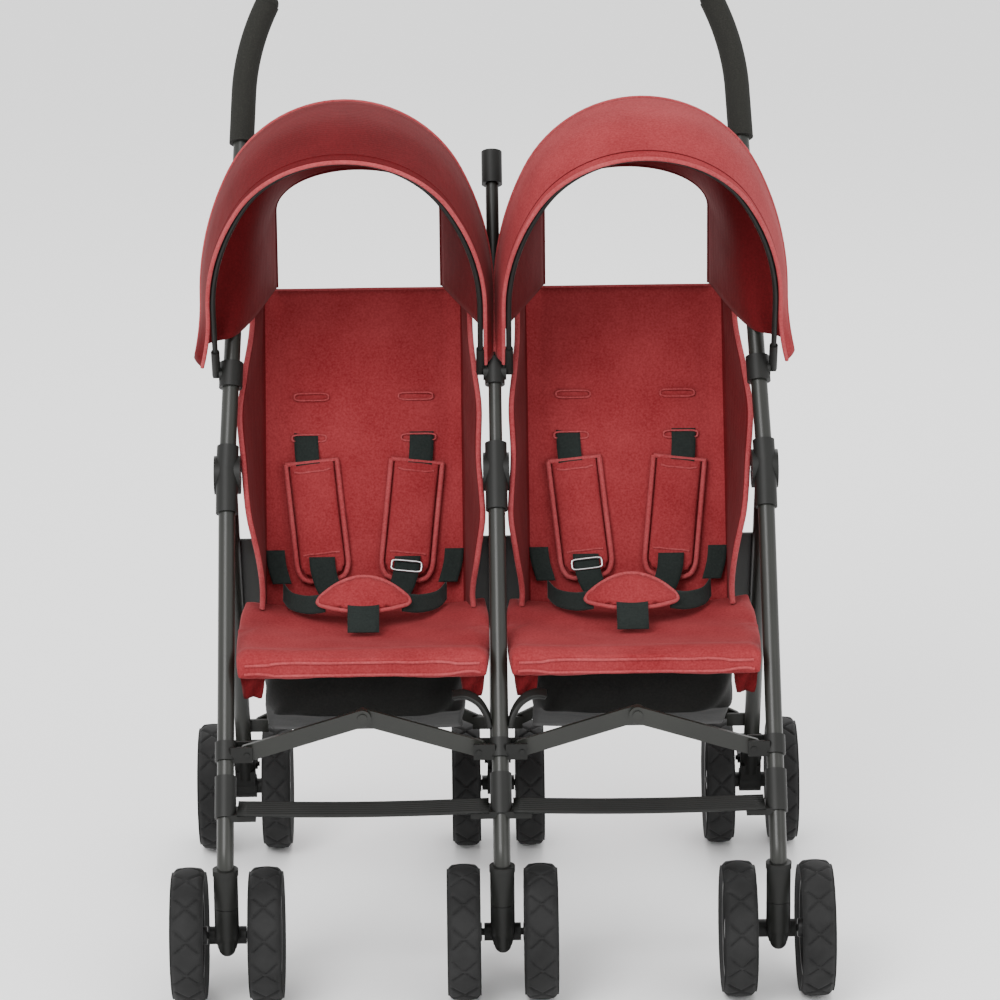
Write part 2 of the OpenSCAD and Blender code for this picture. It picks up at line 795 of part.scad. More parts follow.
// the round part of the bow, swept along its arch
module bow_arch() {
    path = concat(
        [[bow_half, bow_start]],
        [for (p = arch(bow_half, bow_rise)) p + [0, bow_top - bow_rise]],
        [[-bow_half, bow_start]]
    );
    last = len(path) - 1;
    pts = [for (i = [0 : last], k = [0 : bow_sides - 1])
        let (along = unit(path[min(i + 1, last)] - path[max(i - 1, 0)]), a = 360 * k / bow_sides)
            [path[i][0] + bow_r * cos(a) * along[1], bow_r * sin(a), path[i][1] - bow_r * cos(a) * along[0]]];
    walls = [for (i = [0 : last - 1], k = [0 : bow_sides - 1])
        let (a = i * bow_sides + k, b = i * bow_sides + (k + 1) % bow_sides)
            each [[a, b + bow_sides, b], [a, a + bow_sides, b + bow_sides]]];
    ends = [
        [for (k = [0 : bow_sides - 1]) k],
        [for (k = [bow_sides - 1 : -1 : 0]) last * bow_sides + k]
    ];
    polyhedron(points = pts, faces = concat(walls, ends));
}

module visor_bow(side) {
    color("#1d1e1b")
        translate(at(side * hood_mid, clip))
            rotate([bow_lean, 0, 0])
                difference() {
                    union() {
                        bow_arch();
                        for (s = [-1, 1])
                            translate([s * bow_half, 0, 0]) {
                                xrod(-2.6, 2.6, [0, 0], 8);
                                translate([-2.6, -4.5, 0]) cube([5.2, 9, 34]);
                            }
                    }
                    xrod(-bow_half - 10, bow_half + 10, [0, 0], pin_r + run_gap);
                }
}

// ---------------------------------------------------------------- footrest and storage

module footrest_bands() {
    color("#1f201d")
        for (s = [-1, 1])
            translate([s * bay_mid, foot_y, foot_z - 2.8 + foot_t / 2])
                cube([bay_w - 2 * tube_r - 8, foot_depth, foot_t], center = true);
}

basket_half = 118;
basket_t = 1.8;
basket_top = seat_z - seat_t - 0.4;

// side profile of a basket, as [y, z], grown inwards by t; lip raises the rim of the cut
function basket_profile(t, lip) = [
    [-118 + t, basket_top + lip], [-112 + t, 284 + t], [100, 200 + t],
    [156 - t, 202 + t], [128 - t, 262 + lip]
];

module basket_solid(t, lip) {
    half = basket_half - t;
    translate([-half, 0, 0])
        rotate([90, 0, 90])
            linear_extrude(2 * half)
                polygon(basket_profile(t, lip));
}

module storage_baskets() {
    color("#1b1c1a")
        for (s = [-1, 1])
            translate([s * bay_mid, 0, 0])
                difference() {
                    basket_solid(0, 0);
                    basket_solid(basket_t, 40);
                }
}

// ---------------------------------------------------------------- nodes

front_leg(0);  // centre_front_leg
front_leg(-bay_w);  // left_front_leg
front_leg(bay_w);  // right_front_leg
centre_post();  // centre_push_tube
push_tube(-1);  // left_push_tube
push_tube(1);  // right_push_tube
elbow_body(0, at(0, unit(push_rise)), post_r);  // centre_elbow
elbow_body(-bay_w, push_dir(-1), tube_r);  // left_elbow
elbow_body(bay_w, push_dir(1), tube_r);  // right_elbow
centre_fittings();
side_fittings(-1);  // left_fittings
side_fittings(1);  // right_fittings
grip(-1);  // left_grip
grip(1);  // right_grip
rear_leg(-bay_w, [1]);  // rear_leg_left
rear_leg(0, [-1, 1]);  // rear_leg_centre
rear_leg(bay_w, [-1]);  // rear_leg_right
rear_axle_bracket(-bay_w);  // rear_axle_left
rear_axle_bracket(0);  // rear_axle_centre
rear_axle_bracket(bay_w);  // rear_axle_right
brake_pedal(-bay_w);  // brake_pedal_left
brake_pedal(bay_w);  // brake_pedal_right
caster(-bay_w);  // caster_left
caster(0);  // caster_centre
caster(bay_w);  // caster_right
front_wheel(-1, -1);  // front_wheel_left_outer
front_wheel(-1, 1);  // front_wheel_left_inner
front_wheel(0, -1);  // front_wheel_centre_left
front_wheel(0, 1);  // front_wheel_centre_right
front_wheel(1, -1);  // front_wheel_right_inner
front_wheel(1, 1);  // front_wheel_right_outer
rear_wheel(-1, -1);  // rear_wheel_left_outer
rear_wheel(-1, 1);  // rear_wheel_left_inner
rear_wheel(0, -1);  // rear_wheel_centre_left
rear_wheel(0, 1);  // rear_wheel_centre_right
rear_wheel(1, -1);  // rear_wheel_right_inner
rear_wheel(1, 1);  // rear_wheel_right_outer
brace(0, -1, 0);  // brace_left_a
brace(-1, 1, 1);  // brace_left_b
brace(0, 1, 0);  // brace_right_a
brace(1, -1, 1);  // brace_right_b
spreader(-1, 1, 0);  // spreader_left_outer
spreader(0, -1, 1);  // spreader_left_inner
spreader(0, 1, 1);  // spreader_right_inner
spreader(1, -1, 0);  // spreader_right_outer
seat(-1);  // seat_left
seat(1);  // seat_right
backrest(-1);  // backrest_left
backrest(1);  // backrest_right
harness(-1);  // harness_left
harness(1);  // harness_right
crotch_buckles();
hood(-1);  // hood_left
hood(1);  // hood_right
visor(-1);  // visor_left
visor(1);  // visor_right
visor_bow(-1);  // visor_bow_left
visor_bow(1);  // visor_bow_right
footrest_bands();
storage_baskets();
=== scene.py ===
"""Side-by-side twin umbrella stroller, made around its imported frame, in metres."""
import json
import math

import bmesh
import bpy
from mathutils import Matrix, Vector


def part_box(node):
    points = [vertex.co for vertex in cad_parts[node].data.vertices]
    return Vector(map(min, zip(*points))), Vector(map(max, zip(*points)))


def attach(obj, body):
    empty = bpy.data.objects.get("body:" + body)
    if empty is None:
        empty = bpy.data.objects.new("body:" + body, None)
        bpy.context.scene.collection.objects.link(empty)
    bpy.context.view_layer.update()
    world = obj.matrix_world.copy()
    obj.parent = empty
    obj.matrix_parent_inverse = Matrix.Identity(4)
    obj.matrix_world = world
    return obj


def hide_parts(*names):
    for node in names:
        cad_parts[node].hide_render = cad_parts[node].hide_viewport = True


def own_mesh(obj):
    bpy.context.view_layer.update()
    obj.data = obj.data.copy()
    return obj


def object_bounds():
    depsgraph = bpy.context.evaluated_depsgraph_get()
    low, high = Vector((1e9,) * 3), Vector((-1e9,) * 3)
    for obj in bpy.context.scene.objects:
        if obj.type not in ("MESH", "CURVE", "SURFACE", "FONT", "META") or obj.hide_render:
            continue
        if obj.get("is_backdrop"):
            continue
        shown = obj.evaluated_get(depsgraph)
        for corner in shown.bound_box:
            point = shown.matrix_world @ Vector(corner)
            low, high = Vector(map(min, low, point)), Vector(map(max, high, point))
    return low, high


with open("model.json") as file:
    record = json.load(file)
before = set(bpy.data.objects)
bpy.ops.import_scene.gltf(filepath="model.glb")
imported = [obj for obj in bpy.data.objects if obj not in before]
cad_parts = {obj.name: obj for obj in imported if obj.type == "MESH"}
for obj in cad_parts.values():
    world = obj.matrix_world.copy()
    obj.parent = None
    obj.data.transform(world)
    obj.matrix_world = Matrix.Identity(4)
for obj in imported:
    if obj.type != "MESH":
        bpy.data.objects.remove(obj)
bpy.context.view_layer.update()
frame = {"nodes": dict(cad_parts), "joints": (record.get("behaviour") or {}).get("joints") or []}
nodes = frame["nodes"]
joints = {joint["name"]: joint for joint in frame["joints"]}

# ---------------------------------------------------------------------------
# Studio: a pale floor that runs up into a pale sky, a broad soft light over
# the front and a long lens at the height of an adult's eyes.
# ---------------------------------------------------------------------------

AIM_HEIGHT = 0.5056
CAMERA_DISTANCE = 5.357
CAMERA_RISE = math.radians(16.36)
CAMERA_ROLL = math.radians(-0.6)
CAMERA_TURN = math.radians(0.45)
CAMERA_STEP = 0.0040


def deselect():
    """Leaves nothing selected, so that the next operator acts only on its own object."""
    if bpy.context.object and bpy.context.object.mode != "OBJECT":
        bpy.ops.object.mode_set(mode="OBJECT")
    bpy.ops.object.select_all(action="DESELECT")


def pick(piece):
    """Makes piece the only selected object and the active one."""
    deselect()
    piece.select_set(True)
    bpy.context.view_layer.objects.active = piece
    return piece


def settle(piece):
    """Writes the piece's place, turn and scale into its mesh."""
    pick(piece)
    bpy.ops.object.transform_apply(location=True, rotation=True, scale=True)
    return piece


def shader(name, roughness, colour=None, gloss=0.5):
    """A new material; returns it with its nodes, links and Principled shader."""
    finish = bpy.data.materials.new(name)
    finish.use_nodes = True
    tree = finish.node_tree
    surface = tree.nodes["Principled BSDF"]
    surface.inputs["Roughness"].default_value = roughness
    surface.inputs["Specular IOR Level"].default_value = gloss
    if colour:
        surface.inputs["Base Color"].default_value = (*colour, 1)
    return finish, tree.nodes, tree.links, surface


def texture(parts, links, place, kind, scale, detail=None):
    """A procedural texture of that scale on the surface's own coordinates."""
    pattern = parts.new(f"ShaderNodeTex{kind}")
    pattern.inputs["Scale"].default_value = scale
    if detail:
        pattern.inputs["Detail"].default_value = detail
    links.new(place, pattern.inputs["Vector"])
    return pattern


def tint_by(parts, links, surface, value, low, high):
    """Colours the surface from low to high, each (position, colour), as value grows."""
    tint = parts.new("ShaderNodeValToRGB")
    for stop, (position, colour) in zip(tint.color_ramp.elements, (low, high)):
        stop.position = position
        stop.color = (*colour, 1)
    links.new(value, tint.inputs["Fac"])
    links.new(tint.outputs["Color"], surface.inputs["Base Color"])


def relief(parts, links, height, strength, distance, target):
    """Raises the surface by height and feeds the result to target."""
    bump = parts.new("ShaderNodeBump")
    bump.inputs["Strength"].default_value = strength
    bump.inputs["Distance"].default_value = distance
    links.new(height, bump.inputs["Height"])
    links.new(bump.outputs["Normal"], target)
    return bump


def floor_paint():
    finish, parts, links, surface = shader("studio_floor", 0.55)
    grain = parts.new("ShaderNodeTexNoise")
    grain.inputs["Scale"].default_value = 6
    tint = parts.new("ShaderNodeValToRGB")
    tint.color_ramp.elements[0].color = (0.93, 0.93, 0.93, 1)
    tint.color_ramp.elements[1].color = (0.96, 0.96, 0.96, 1)
    links.new(grain.outputs["Fac"], tint.inputs["Fac"])
    links.new(tint.outputs["Color"], surface.inputs["Base Color"])
    return finish


deselect()
bpy.ops.mesh.primitive_plane_add(size=40, location=(0, 0, -0.0005))
floor = bpy.context.object
floor.name = "studio_floor"
floor.data.materials.append(floor_paint())
settle(floor)
floor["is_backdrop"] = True

sky = bpy.data.worlds.new("studio_sky")
bpy.context.scene.world = sky
sky.use_nodes = True
sky.node_tree.nodes["Background"].inputs["Color"].default_value = (1, 1, 1, 1)
sky.node_tree.nodes["Background"].inputs["Strength"].default_value = 1.65


def soft_light(name, place, size, power):
    """A square lamp of that size that shines at the stroller's middle."""
    deselect()
    bpy.ops.object.light_add(type="AREA", location=place)
    lamp = bpy.context.object
    lamp.name = name
    lamp.data.size = size
    lamp.data.energy = power
    aim = Vector((0, 0, AIM_HEIGHT)) - Vector(place)
    lamp.rotation_euler = aim.to_track_quat("-Z", "Y").to_euler()


soft_light("key_light", (-1.3, -2.6, 3.0), 1.8, 125)
soft_light("fill_light", (2.6, -2.4, 1.6), 2.0, 30)
soft_light("back_light", (0.4, 2.6, 2.8), 1.6, 40)

bpy.ops.object.camera_add(
    location=(
        CAMERA_STEP - CAMERA_DISTANCE * math.cos(CAMERA_RISE) * math.sin(CAMERA_TURN),
        -CAMERA_DISTANCE * math.cos(CAMERA_RISE) * math.cos(CAMERA_TURN),
        AIM_HEIGHT + CAMERA_DISTANCE * math.sin(CAMERA_RISE),
    ),
)
camera = bpy.context.object
camera.rotation_euler = (
    Matrix.Rotation(-CAMERA_TURN, 3, "Z")
    @ Matrix.Rotation(math.radians(90) - CAMERA_RISE, 3, "X")
    @ Matrix.Rotation(CAMERA_ROLL, 3, "Z")
).to_euler()
camera.data.lens = 169.2
camera.data.sensor_width = 36
bpy.context.scene.camera = camera

# ---------------------------------------------------------------------------
# Frame tubes: thin-walled steel with an olive-grey baked enamel. The tubes,
# scissor bars and spreader links come from the frame as they are.
# ---------------------------------------------------------------------------

TUBES = [name for name in nodes if name.endswith(("front_leg", "push_tube"))]
TUBES += [name for name in nodes if name.startswith(("rear_leg", "brace", "spreader"))]


def enamel(name, dark, light, roughness):
    """Baked paint: a faint orange peel, and brighter patches where hands and straps rub."""
    finish, parts, links, surface = shader(name, roughness, gloss=0.3)
    surface.inputs["Coat Weight"].default_value = 0.12
    surface.inputs["Coat Roughness"].default_value = 0.2
    place = parts.new("ShaderNodeTexCoord").outputs["Object"]
    peel = texture(parts, links, place, "Noise", 900, 2)
    rub = texture(parts, links, place, "Noise", 14, 6)
    tint_by(parts, links, surface, rub.outputs["Fac"], (0.35, dark), (0.75, light))
    sheen = parts.new("ShaderNodeMapRange")
    sheen.inputs["To Min"].default_value = roughness - 0.06
    sheen.inputs["To Max"].default_value = roughness + 0.08
    links.new(rub.outputs["Fac"], sheen.inputs["Value"])
    links.new(sheen.outputs["Result"], surface.inputs["Roughness"])
    relief(parts, links, peel.outputs["Fac"], 0.12, 0.0003, surface.inputs["Normal"])
    return finish


def dress(name, finish):
    """Gives every slot of a frame node the finish."""
    for place in nodes[name].material_slots:
        place.material = finish


tube_enamel = enamel("tube_enamel", (0.0095, 0.010, 0.008), (0.014, 0.0147, 0.012), 0.38)
for name in TUBES:
    dress(name, tube_enamel)

# ---------------------------------------------------------------------------
# Moulded fittings: elbows, leg sleeves, axle brackets, casters and pedals in
# glass-filled nylon with a fine spark-eroded grain.
# ---------------------------------------------------------------------------

MOULDINGS = [name for name in nodes if name.endswith(("elbow", "fittings"))]
MOULDINGS += [name for name in nodes if name.startswith(("rear_axle", "caster", "brake_pedal", "visor_bow"))]


def nylon(name, colour, roughness=0.5):
    finish, parts, links, surface = shader(name, roughness, gloss=0.25)
    place = parts.new("ShaderNodeTexCoord").outputs["Object"]
    grain = texture(parts, links, place, "Voronoi", 1400)
    scuff = texture(parts, links, place, "Noise", 30, 8)
    worn = [channel * 1.6 for channel in colour]
    tint_by(parts, links, surface, scuff.outputs["Fac"], (0.3, colour), (0.9, worn))
    relief(parts, links, grain.outputs["Distance"], 0.18, 0.0002, surface.inputs["Normal"])
    return finish


black_nylon = nylon("black_nylon", (0.0050, 0.0052, 0.0045))
for name in MOULDINGS:
    dress(name, black_nylon)

# ---------------------------------------------------------------------------
# Wheels: closed-cell foam tyres with a shallow crossed tread, pressed on
# six-spoked nylon rims with a snap-on hub cap. Every wheel turns by itself.
# ---------------------------------------------------------------------------

WHEEL_RADIUS = 0.076
RIM_RADIUS = 0.058
TREAD_BLOCKS = 12
STEPS_A_BLOCK = 20
GROOVE_DEPTH = 0.0022
GROOVE_HALF = 0.062      # of a block's length


def tyre_foam():
    finish, parts, links, surface = shader("tyre_foam", 0.75, gloss=0.22)
    place = parts.new("ShaderNodeTexCoord").outputs["Object"]
    cells = texture(parts, links, place, "Voronoi", 1100)
    dust = texture(parts, links, place, "Noise", 26, 7)
    tint_by(parts, links, surface, dust.outputs["Fac"], (0.35, (0.0065, 0.0065, 0.0065)),
            (0.8, (0.016, 0.016, 0.016)))
    relief(parts, links, cells.outputs["Distance"], 0.2, 0.0003, surface.inputs["Normal"])
    return finish


tyre_finish = tyre_foam()
rim_finish = nylon("rim_nylon", (0.010, 0.010, 0.010), 0.42)


def shape_tread(piece, half):
    """Rounds the tread's shoulders and presses crossed grooves into it."""
    for vertex in piece.data.vertices:
        across = vertex.co.x / half
        turn = (math.atan2(vertex.co.z, vertex.co.y) / math.tau * TREAD_BLOCKS) % 1
        crown = 0.0022 * across ** 2 + 0.0035 * max(0, abs(across) - 0.8) / 0.2
        cross = abs(abs(turn - 0.5) - abs(across) * 0.42)
        depth = GROOVE_DEPTH * max(0, 1 - (cross / GROOVE_HALF) ** 2)
        if abs(across) > 0.8 or abs(turn - 0.5) < 0.02:
            depth = 0
        scale = (WHEEL_RADIUS - crown - depth) / WHEEL_RADIUS
        vertex.co.y *= scale
        vertex.co.z *= scale


def foam_tyre(name, centre, width):
    """A band round the X axis, its side walls extruded in towards the rim."""
    half = width / 2
    deselect()
    bpy.ops.mesh.primitive_cylinder_add(
        vertices=TREAD_BLOCKS * STEPS_A_BLOCK,
        radius=WHEEL_RADIUS,
        depth=width,
        end_fill_type="NOTHING",
        rotation=(0, math.radians(90), 0),
    )
    piece = bpy.context.object
    piece.name = name
    bpy.ops.object.transform_apply(location=False, rotation=True, scale=False)
    bpy.ops.object.mode_set(mode="EDIT")
    bpy.ops.mesh.select_mode(type="EDGE")
    bpy.ops.mesh.select_all(action="DESELECT")
    shell = bmesh.from_edit_mesh(piece.data)
    for edge in shell.edges:
        edge.select = abs(edge.verts[0].co.x - edge.verts[1].co.x) > half
    bmesh.update_edit_mesh(piece.data)
    bpy.ops.mesh.subdivide(number_cuts=15)
    bpy.ops.object.mode_set(mode="OBJECT")
    shape_tread(piece, half)
    for side in (-1, 1):
        for shrink, inset in ((0.93, -0.0012), (0.9, 0), (0.85, 0.0006), (0.765, 0.0035)):
            bpy.ops.object.mode_set(mode="EDIT")
            bpy.ops.mesh.select_all(action="DESELECT")
            shell = bmesh.from_edit_mesh(piece.data)
            for edge in shell.edges:
                edge.select = edge.is_boundary and edge.verts[0].co.x * side > 0
            bmesh.update_edit_mesh(piece.data)
            bpy.ops.mesh.extrude_edges_move()
            rim = bmesh.from_edit_mesh(piece.data)
            for vertex in rim.verts:
                if vertex.select:
                    reach = math.hypot(vertex.co.y, vertex.co.z)
                    vertex.co.y *= shrink * WHEEL_RADIUS / reach
                    vertex.co.z *= shrink * WHEEL_RADIUS / reach
                    vertex.co.x = side * (half - inset)
            bmesh.update_edit_mesh(piece.data)
            bpy.ops.object.mode_set(mode="OBJECT")
    bpy.ops.object.mode_set(mode="EDIT")
    bpy.ops.mesh.select_all(action="DESELECT")
    shell = bmesh.from_edit_mesh(piece.data)
    for edge in shell.edges:
        edge.select = edge.is_boundary
    bmesh.update_edit_mesh(piece.data)
    bpy.ops.mesh.bridge_edge_loops()
    bpy.ops.mesh.select_all(action="SELECT")
    bpy.ops.mesh.normals_make_consistent(inside=False)
    bpy.ops.object.mode_set(mode="OBJECT")
    bpy.ops.object.shade_smooth_by_angle(angle=math.radians(38))
    piece.location = centre
    piece.data.materials.append(tyre_finish)
    return settle(piece)


def turned_ring(outer, inner, depth, steps, centre_x=0.0):
    """A plain ring round the X axis, its four edges bevelled."""
    deselect()
    bpy.ops.mesh.primitive_cylinder_add(
        vertices=steps,
        radius=outer,
        depth=depth,
        end_fill_type="NOTHING",
        rotation=(0, math.radians(90), 0),
        location=(centre_x, 0, 0),
    )
    ring = settle(bpy.context.object)
    wall = ring.modifiers.new("wall", "SOLIDIFY")
    wall.thickness = outer - inner
    wall.offset = -1
    edge = ring.modifiers.new("edge", "BEVEL")
    edge.width = min(0.0009, (outer - inner) / 3)
    edge.segments = 2
    edge.limit_method = "ANGLE"
    for modifier in ("wall", "edge"):
        bpy.ops.object.modifier_apply(modifier=modifier)
    return ring


def spoke(angle, width):
    """One tapered spoke from the hub to the rim, waisted in the middle."""
    deselect()
    bpy.ops.mesh.primitive_cube_add(size=1, location=(0, 0, 0.031))
    bar = bpy.context.object
    bar.scale = (width * 0.5, 0.013, 0.050)
    settle(bar)
    bpy.ops.object.mode_set(mode="EDIT")
    bpy.ops.mesh.select_all(action="SELECT")
    bpy.ops.mesh.subdivide(number_cuts=3)
    bpy.ops.object.mode_set(mode="OBJECT")
    for vertex in bar.data.vertices:
        along = (vertex.co.z - 0.031) / 0.025
        vertex.co.y *= 0.62 + 0.38 * along ** 2
        vertex.co.x *= 0.8 + 0.2 * along ** 2
    soften = bar.modifiers.new("soften", "BEVEL")
    soften.width = 0.0014
    soften.segments = 2
    soften.limit_method = "ANGLE"
    bpy.ops.object.modifier_apply(modifier="soften")
    bar.rotation_euler = (angle, 0, 0)
    return settle(bar)


def spoked_rim(name, centre, width, outward):
    """Rim, six spokes and hub; outward is the side of the wheel that shows its cap."""
    rings = [
        turned_ring(RIM_RADIUS, RIM_RADIUS - 0.0045, width - 0.007, 96),
        turned_ring(RIM_RADIUS + 0.0012, RIM_RADIUS - 0.006, 0.003, 96, outward * (width / 2 - 0.004)),
        turned_ring(0.0135, 0.0041, width * 0.72, 40),
        turned_ring(0.0105, 0.0041, width * 0.3, 40, -outward * width * 0.42),
    ]
    spokes = [spoke(k * math.tau / 6 + math.radians(15), width) for k in range(6)]
    deselect()
    bpy.ops.mesh.primitive_cylinder_add(
        vertices=40,
        radius=0.0118,
        depth=0.0028,
        rotation=(0, math.radians(90), 0),
        location=(outward * (width * 0.36 + 0.0011), 0, 0),
    )
    cap = settle(bpy.context.object)
    dome = cap.modifiers.new("dome", "BEVEL")
    dome.width = 0.0013
    dome.segments = 3
    bpy.ops.object.modifier_apply(modifier="dome")
    deselect()
    for member in rings + spokes + [cap]:
        member.select_set(True)
    bpy.context.view_layer.objects.active = rings[0]
    bpy.ops.object.join()
    rim = bpy.context.object
    rim.name = name
    bpy.ops.object.shade_smooth_by_angle(angle=math.radians(35))
    rim.location = centre
    rim.data.materials.clear()
    rim.data.materials.append(rim_finish)
    return settle(rim)


def copy_to(piece, name, shift):
    """A copy with its own mesh, moved by shift."""
    twin = piece.copy()
    twin.data = piece.data.copy()
    twin.name = name
    bpy.context.scene.collection.objects.link(twin)
    twin.data.transform(Matrix.Translation(shift))
    return twin


for end in ("front", "rear"):
    wheels = [name for name in nodes if name.startswith(f"{end}_wheel")]
    patterns = {}
    for name in wheels:
        low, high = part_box(name)
        joint = joints[f"{name}_spin"]
        centre = Vector(joint["pos_m"])
        width = 2 * min(high.x - centre.x, centre.x - low.x)
        leg_side = 1 if high.x - centre.x > centre.x - low.x else -1
        if leg_side not in patterns:
            patterns[leg_side] = (
                foam_tyre(f"{end}_tyre_pattern", Vector((0, 0, 0)), width),
                spoked_rim(f"{end}_rim_pattern", Vector((0, 0, 0)), width, -leg_side),
            )
        tyre = copy_to(patterns[leg_side][0], f"{name}_tyre", centre)
        rim = copy_to(patterns[leg_side][1], f"{name}_rim", centre)
        for piece in (tyre, rim):
            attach(piece, name)
        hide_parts(name)
    for pair in patterns.values():
        for piece in pair:
            bpy.data.objects.remove(piece)

# ---------------------------------------------------------------------------
# Grips: a sleeve of closed-cell foam pushed over each bent handle, closed at
# the top and turned in at its lower rim.
# ---------------------------------------------------------------------------


def grip_foam():
    finish, parts, links, surface = shader("grip_foam", 0.85, gloss=0.2)
    place = parts.new("ShaderNodeTexCoord").outputs["Object"]
    cells = texture(parts, links, place, "Voronoi", 700)
    tint_by(parts, links, surface, cells.outputs["Distance"], (0, (0.008, 0.008, 0.007)),
            (1, (0.018, 0.018, 0.015)))
    relief(parts, links, cells.outputs["Distance"], 0.4, 0.0004, surface.inputs["Normal"])
    return finish


foam = grip_foam()
for side in ("left", "right"):
    dress(f"{side}_grip", foam)

# ---------------------------------------------------------------------------
# Cloth: the crimson polyester is woven from two shades of yarn, which gives
# it a streaky heather; the straps are plain black webbing.
# ---------------------------------------------------------------------------


def heather(name, dark, light, bloom=(1.0, 0.4, 0.4)):
    """Two-tone yarn: streaks and flecks in colour, and the weave in relief."""
    finish, parts, links, surface = shader(name, 0.88)
    surface.inputs["Sheen Weight"].default_value = 0.08
    surface.inputs["Sheen Roughness"].default_value = 0.4
    surface.inputs["Sheen Tint"].default_value = (*bloom, 1)
    surface.inputs["Specular IOR Level"].default_value = 0.12
    place = parts.new("ShaderNodeTexCoord").outputs["Object"]
    flecks = texture(parts, links, place, "Noise", 420, 3)
    cloud = texture(parts, links, place, "Noise", 18, 4)
    mix = parts.new("ShaderNodeMix")
    mix.data_type = "FLOAT"
    mix.inputs["Factor"].default_value = 0.4
    links.new(flecks.outputs["Fac"], mix.inputs["A"])
    links.new(cloud.outputs["Fac"], mix.inputs["B"])
    tint_by(parts, links, surface, mix.outputs["Result"], (0.3, dark), (0.7, light))
    weave = parts.new("ShaderNodeMath")
    weave.operation = "ADD"
    for socket, direction in enumerate("XZ"):
        yarn = texture(parts, links, place, "Wave", 210)
        yarn.bands_direction = direction
        yarn.inputs["Distortion"].default_value = 0.6
        links.new(yarn.outputs["Fac"], weave.inputs[socket])
    rumple = texture(parts, links, place, "Noise", 22, 3)
    bump = relief(parts, links, weave.outputs["Value"], 0.25, 0.0003, surface.inputs["Normal"])
    relief(parts, links, rumple.outputs["Fac"], 0.35, 0.004, bump.inputs["Normal"])
    return finish


crimson = heather("crimson_heather", (0.160, 0.011, 0.014), (0.262, 0.035, 0.039))
# A darker copy of the crimson, painted shade: it stands for the shade inside the hood, under the visor and
# the seat, and on the backrest's wings.
painted_shade_crimson = heather("crimson_painted_shade", (0.058, 0.002, 0.003), (0.100, 0.005, 0.007))
piping_cloth = heather("crimson_piping", (0.22, 0.022, 0.026), (0.34, 0.065, 0.070))
black_cloth = heather("black_cloth", (0.005, 0.005, 0.005), (0.010, 0.010, 0.009), bloom=(1.0, 1.0, 1.0))
webbing = heather("webbing", (0.009, 0.012, 0.011), (0.017, 0.022, 0.020), bloom=(1.0, 1.0, 1.0))


def sheet_from(name, rows, finish, thickness, inward=None):
    """A grid primitive laid through rows of points, then given its thickness."""
    across = len(rows[0])
    deselect()
    bpy.ops.mesh.primitive_grid_add(x_subdivisions=across - 1, y_subdivisions=len(rows) - 1, size=2)
    piece = bpy.context.object
    piece.name = name
    for vertex in piece.data.vertices:
        column = round((vertex.co.x + 1) / 2 * (across - 1))
        row = round((vertex.co.y + 1) / 2 * (len(rows) - 1))
        vertex.co = rows[row][column]
    piece.data.materials.append(finish)
    if thickness:
        wall = piece.modifiers.new("wall", "SOLIDIFY")
        wall.thickness = thickness
        wall.offset = 0
        if inward:
            piece.data.materials.append(inward)
            wall.material_offset = 1
            wall.material_offset_rim = 0
        bpy.ops.object.modifier_apply(modifier="wall")
    pick(piece)
    bpy.ops.object.shade_smooth()
    return piece


def piping(name, points, radius, finish=None, sides=8):
    """A corded edge: a bevelled curve through the points, made a mesh."""
    deselect()
    bpy.ops.curve.primitive_nurbs_path_add()
    line = bpy.context.object
    line.name = name
    line.data.splines.clear()
    spline = line.data.splines.new("POLY")
    spline.points.add(len(points) - 1)
    for place, point in zip(spline.points, points):
        place.co = (*point, 1)
    line.data.bevel_depth = radius
    line.data.bevel_resolution = max(1, sides // 4)
    line.data.use_fill_caps = True
    pick(line)
    bpy.ops.object.convert(target="MESH")
    cord = bpy.context.object
    cord.data.materials.clear()
    cord.data.materials.append(finish or piping_cloth)
    bpy.ops.object.shade_smooth()
    return cord


def join(name, pieces):
    """Joins the pieces into the first one."""
    deselect()
    for piece in pieces:
        piece.select_set(True)
    bpy.context.view_layer.objects.active = pieces[0]
    bpy.ops.object.join()
    pieces[0].name = name
    return pieces[0]


def smoothstep(low, high, value):
    share = min(1, max(0, (value - low) / (high - low)))
    return share * share * (3 - 2 * share)


def folds(piece, body, *replaced):
    """A soft piece of a bay: rides on body, with a mesh of its own, and hides the frame nodes it replaces.
    """
    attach(piece, body)
    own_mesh(piece)
    if replaced:
        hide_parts(*replaced)
    return piece


# ---------------------------------------------------------------------------
# Canopies: one sheet of cloth each, sewn over a fixed ridge and drawn back to
# an open arched window; a visor on its own bow reaches forward over the seat.
# ---------------------------------------------------------------------------

BAY_MIDDLE = abs(joints["recline_left"]["pos_m"][0])
PIVOT = Vector(joints["visor_left_hinge"]["pos_m"])
HOOD_MIDDLE = abs(PIVOT.x)
HOOD_HALF = HOOD_MIDDLE - 0.0014
HOOD_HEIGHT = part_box("visor_left")[1].z - PIVOT.z
CLOTH = 0.0014
SIDE_STEPS = 14
CROWN_STEPS = 30
LEG_STEPS = 8
HOOD_RISE = 0.2243


def arch(half, rise):
    """A three-centred arch from spring to spring: long arcs at the sides, a rounder crown."""
    long = 1.9 * half
    crown = (long ** 2 - (long - half) ** 2 - rise ** 2) / (2 * (long - rise))
    turn = math.atan2(rise - crown, long - half)
    sides = [turn * k / SIDE_STEPS for k in range(SIDE_STEPS + 1)]
    points = [(half - long + long * math.cos(a), long * math.sin(a)) for a in sides]
    for k in range(1, CROWN_STEPS):
        angle = turn + (math.pi - 2 * turn) * k / CROWN_STEPS
        points.append((crown * math.cos(angle), rise - crown + crown * math.sin(angle)))
    return points + [(-x, z) for x, z in reversed(points[:SIDE_STEPS + 1])]


def low_arch(half, rise):
    """As many points as arch has, on half an ellipse."""
    steps = 2 * SIDE_STEPS + CROWN_STEPS
    return [
        (half * math.cos(math.pi * k / steps), rise * math.sin(math.pi * k / steps))
        for k in range(steps + 1)
    ]


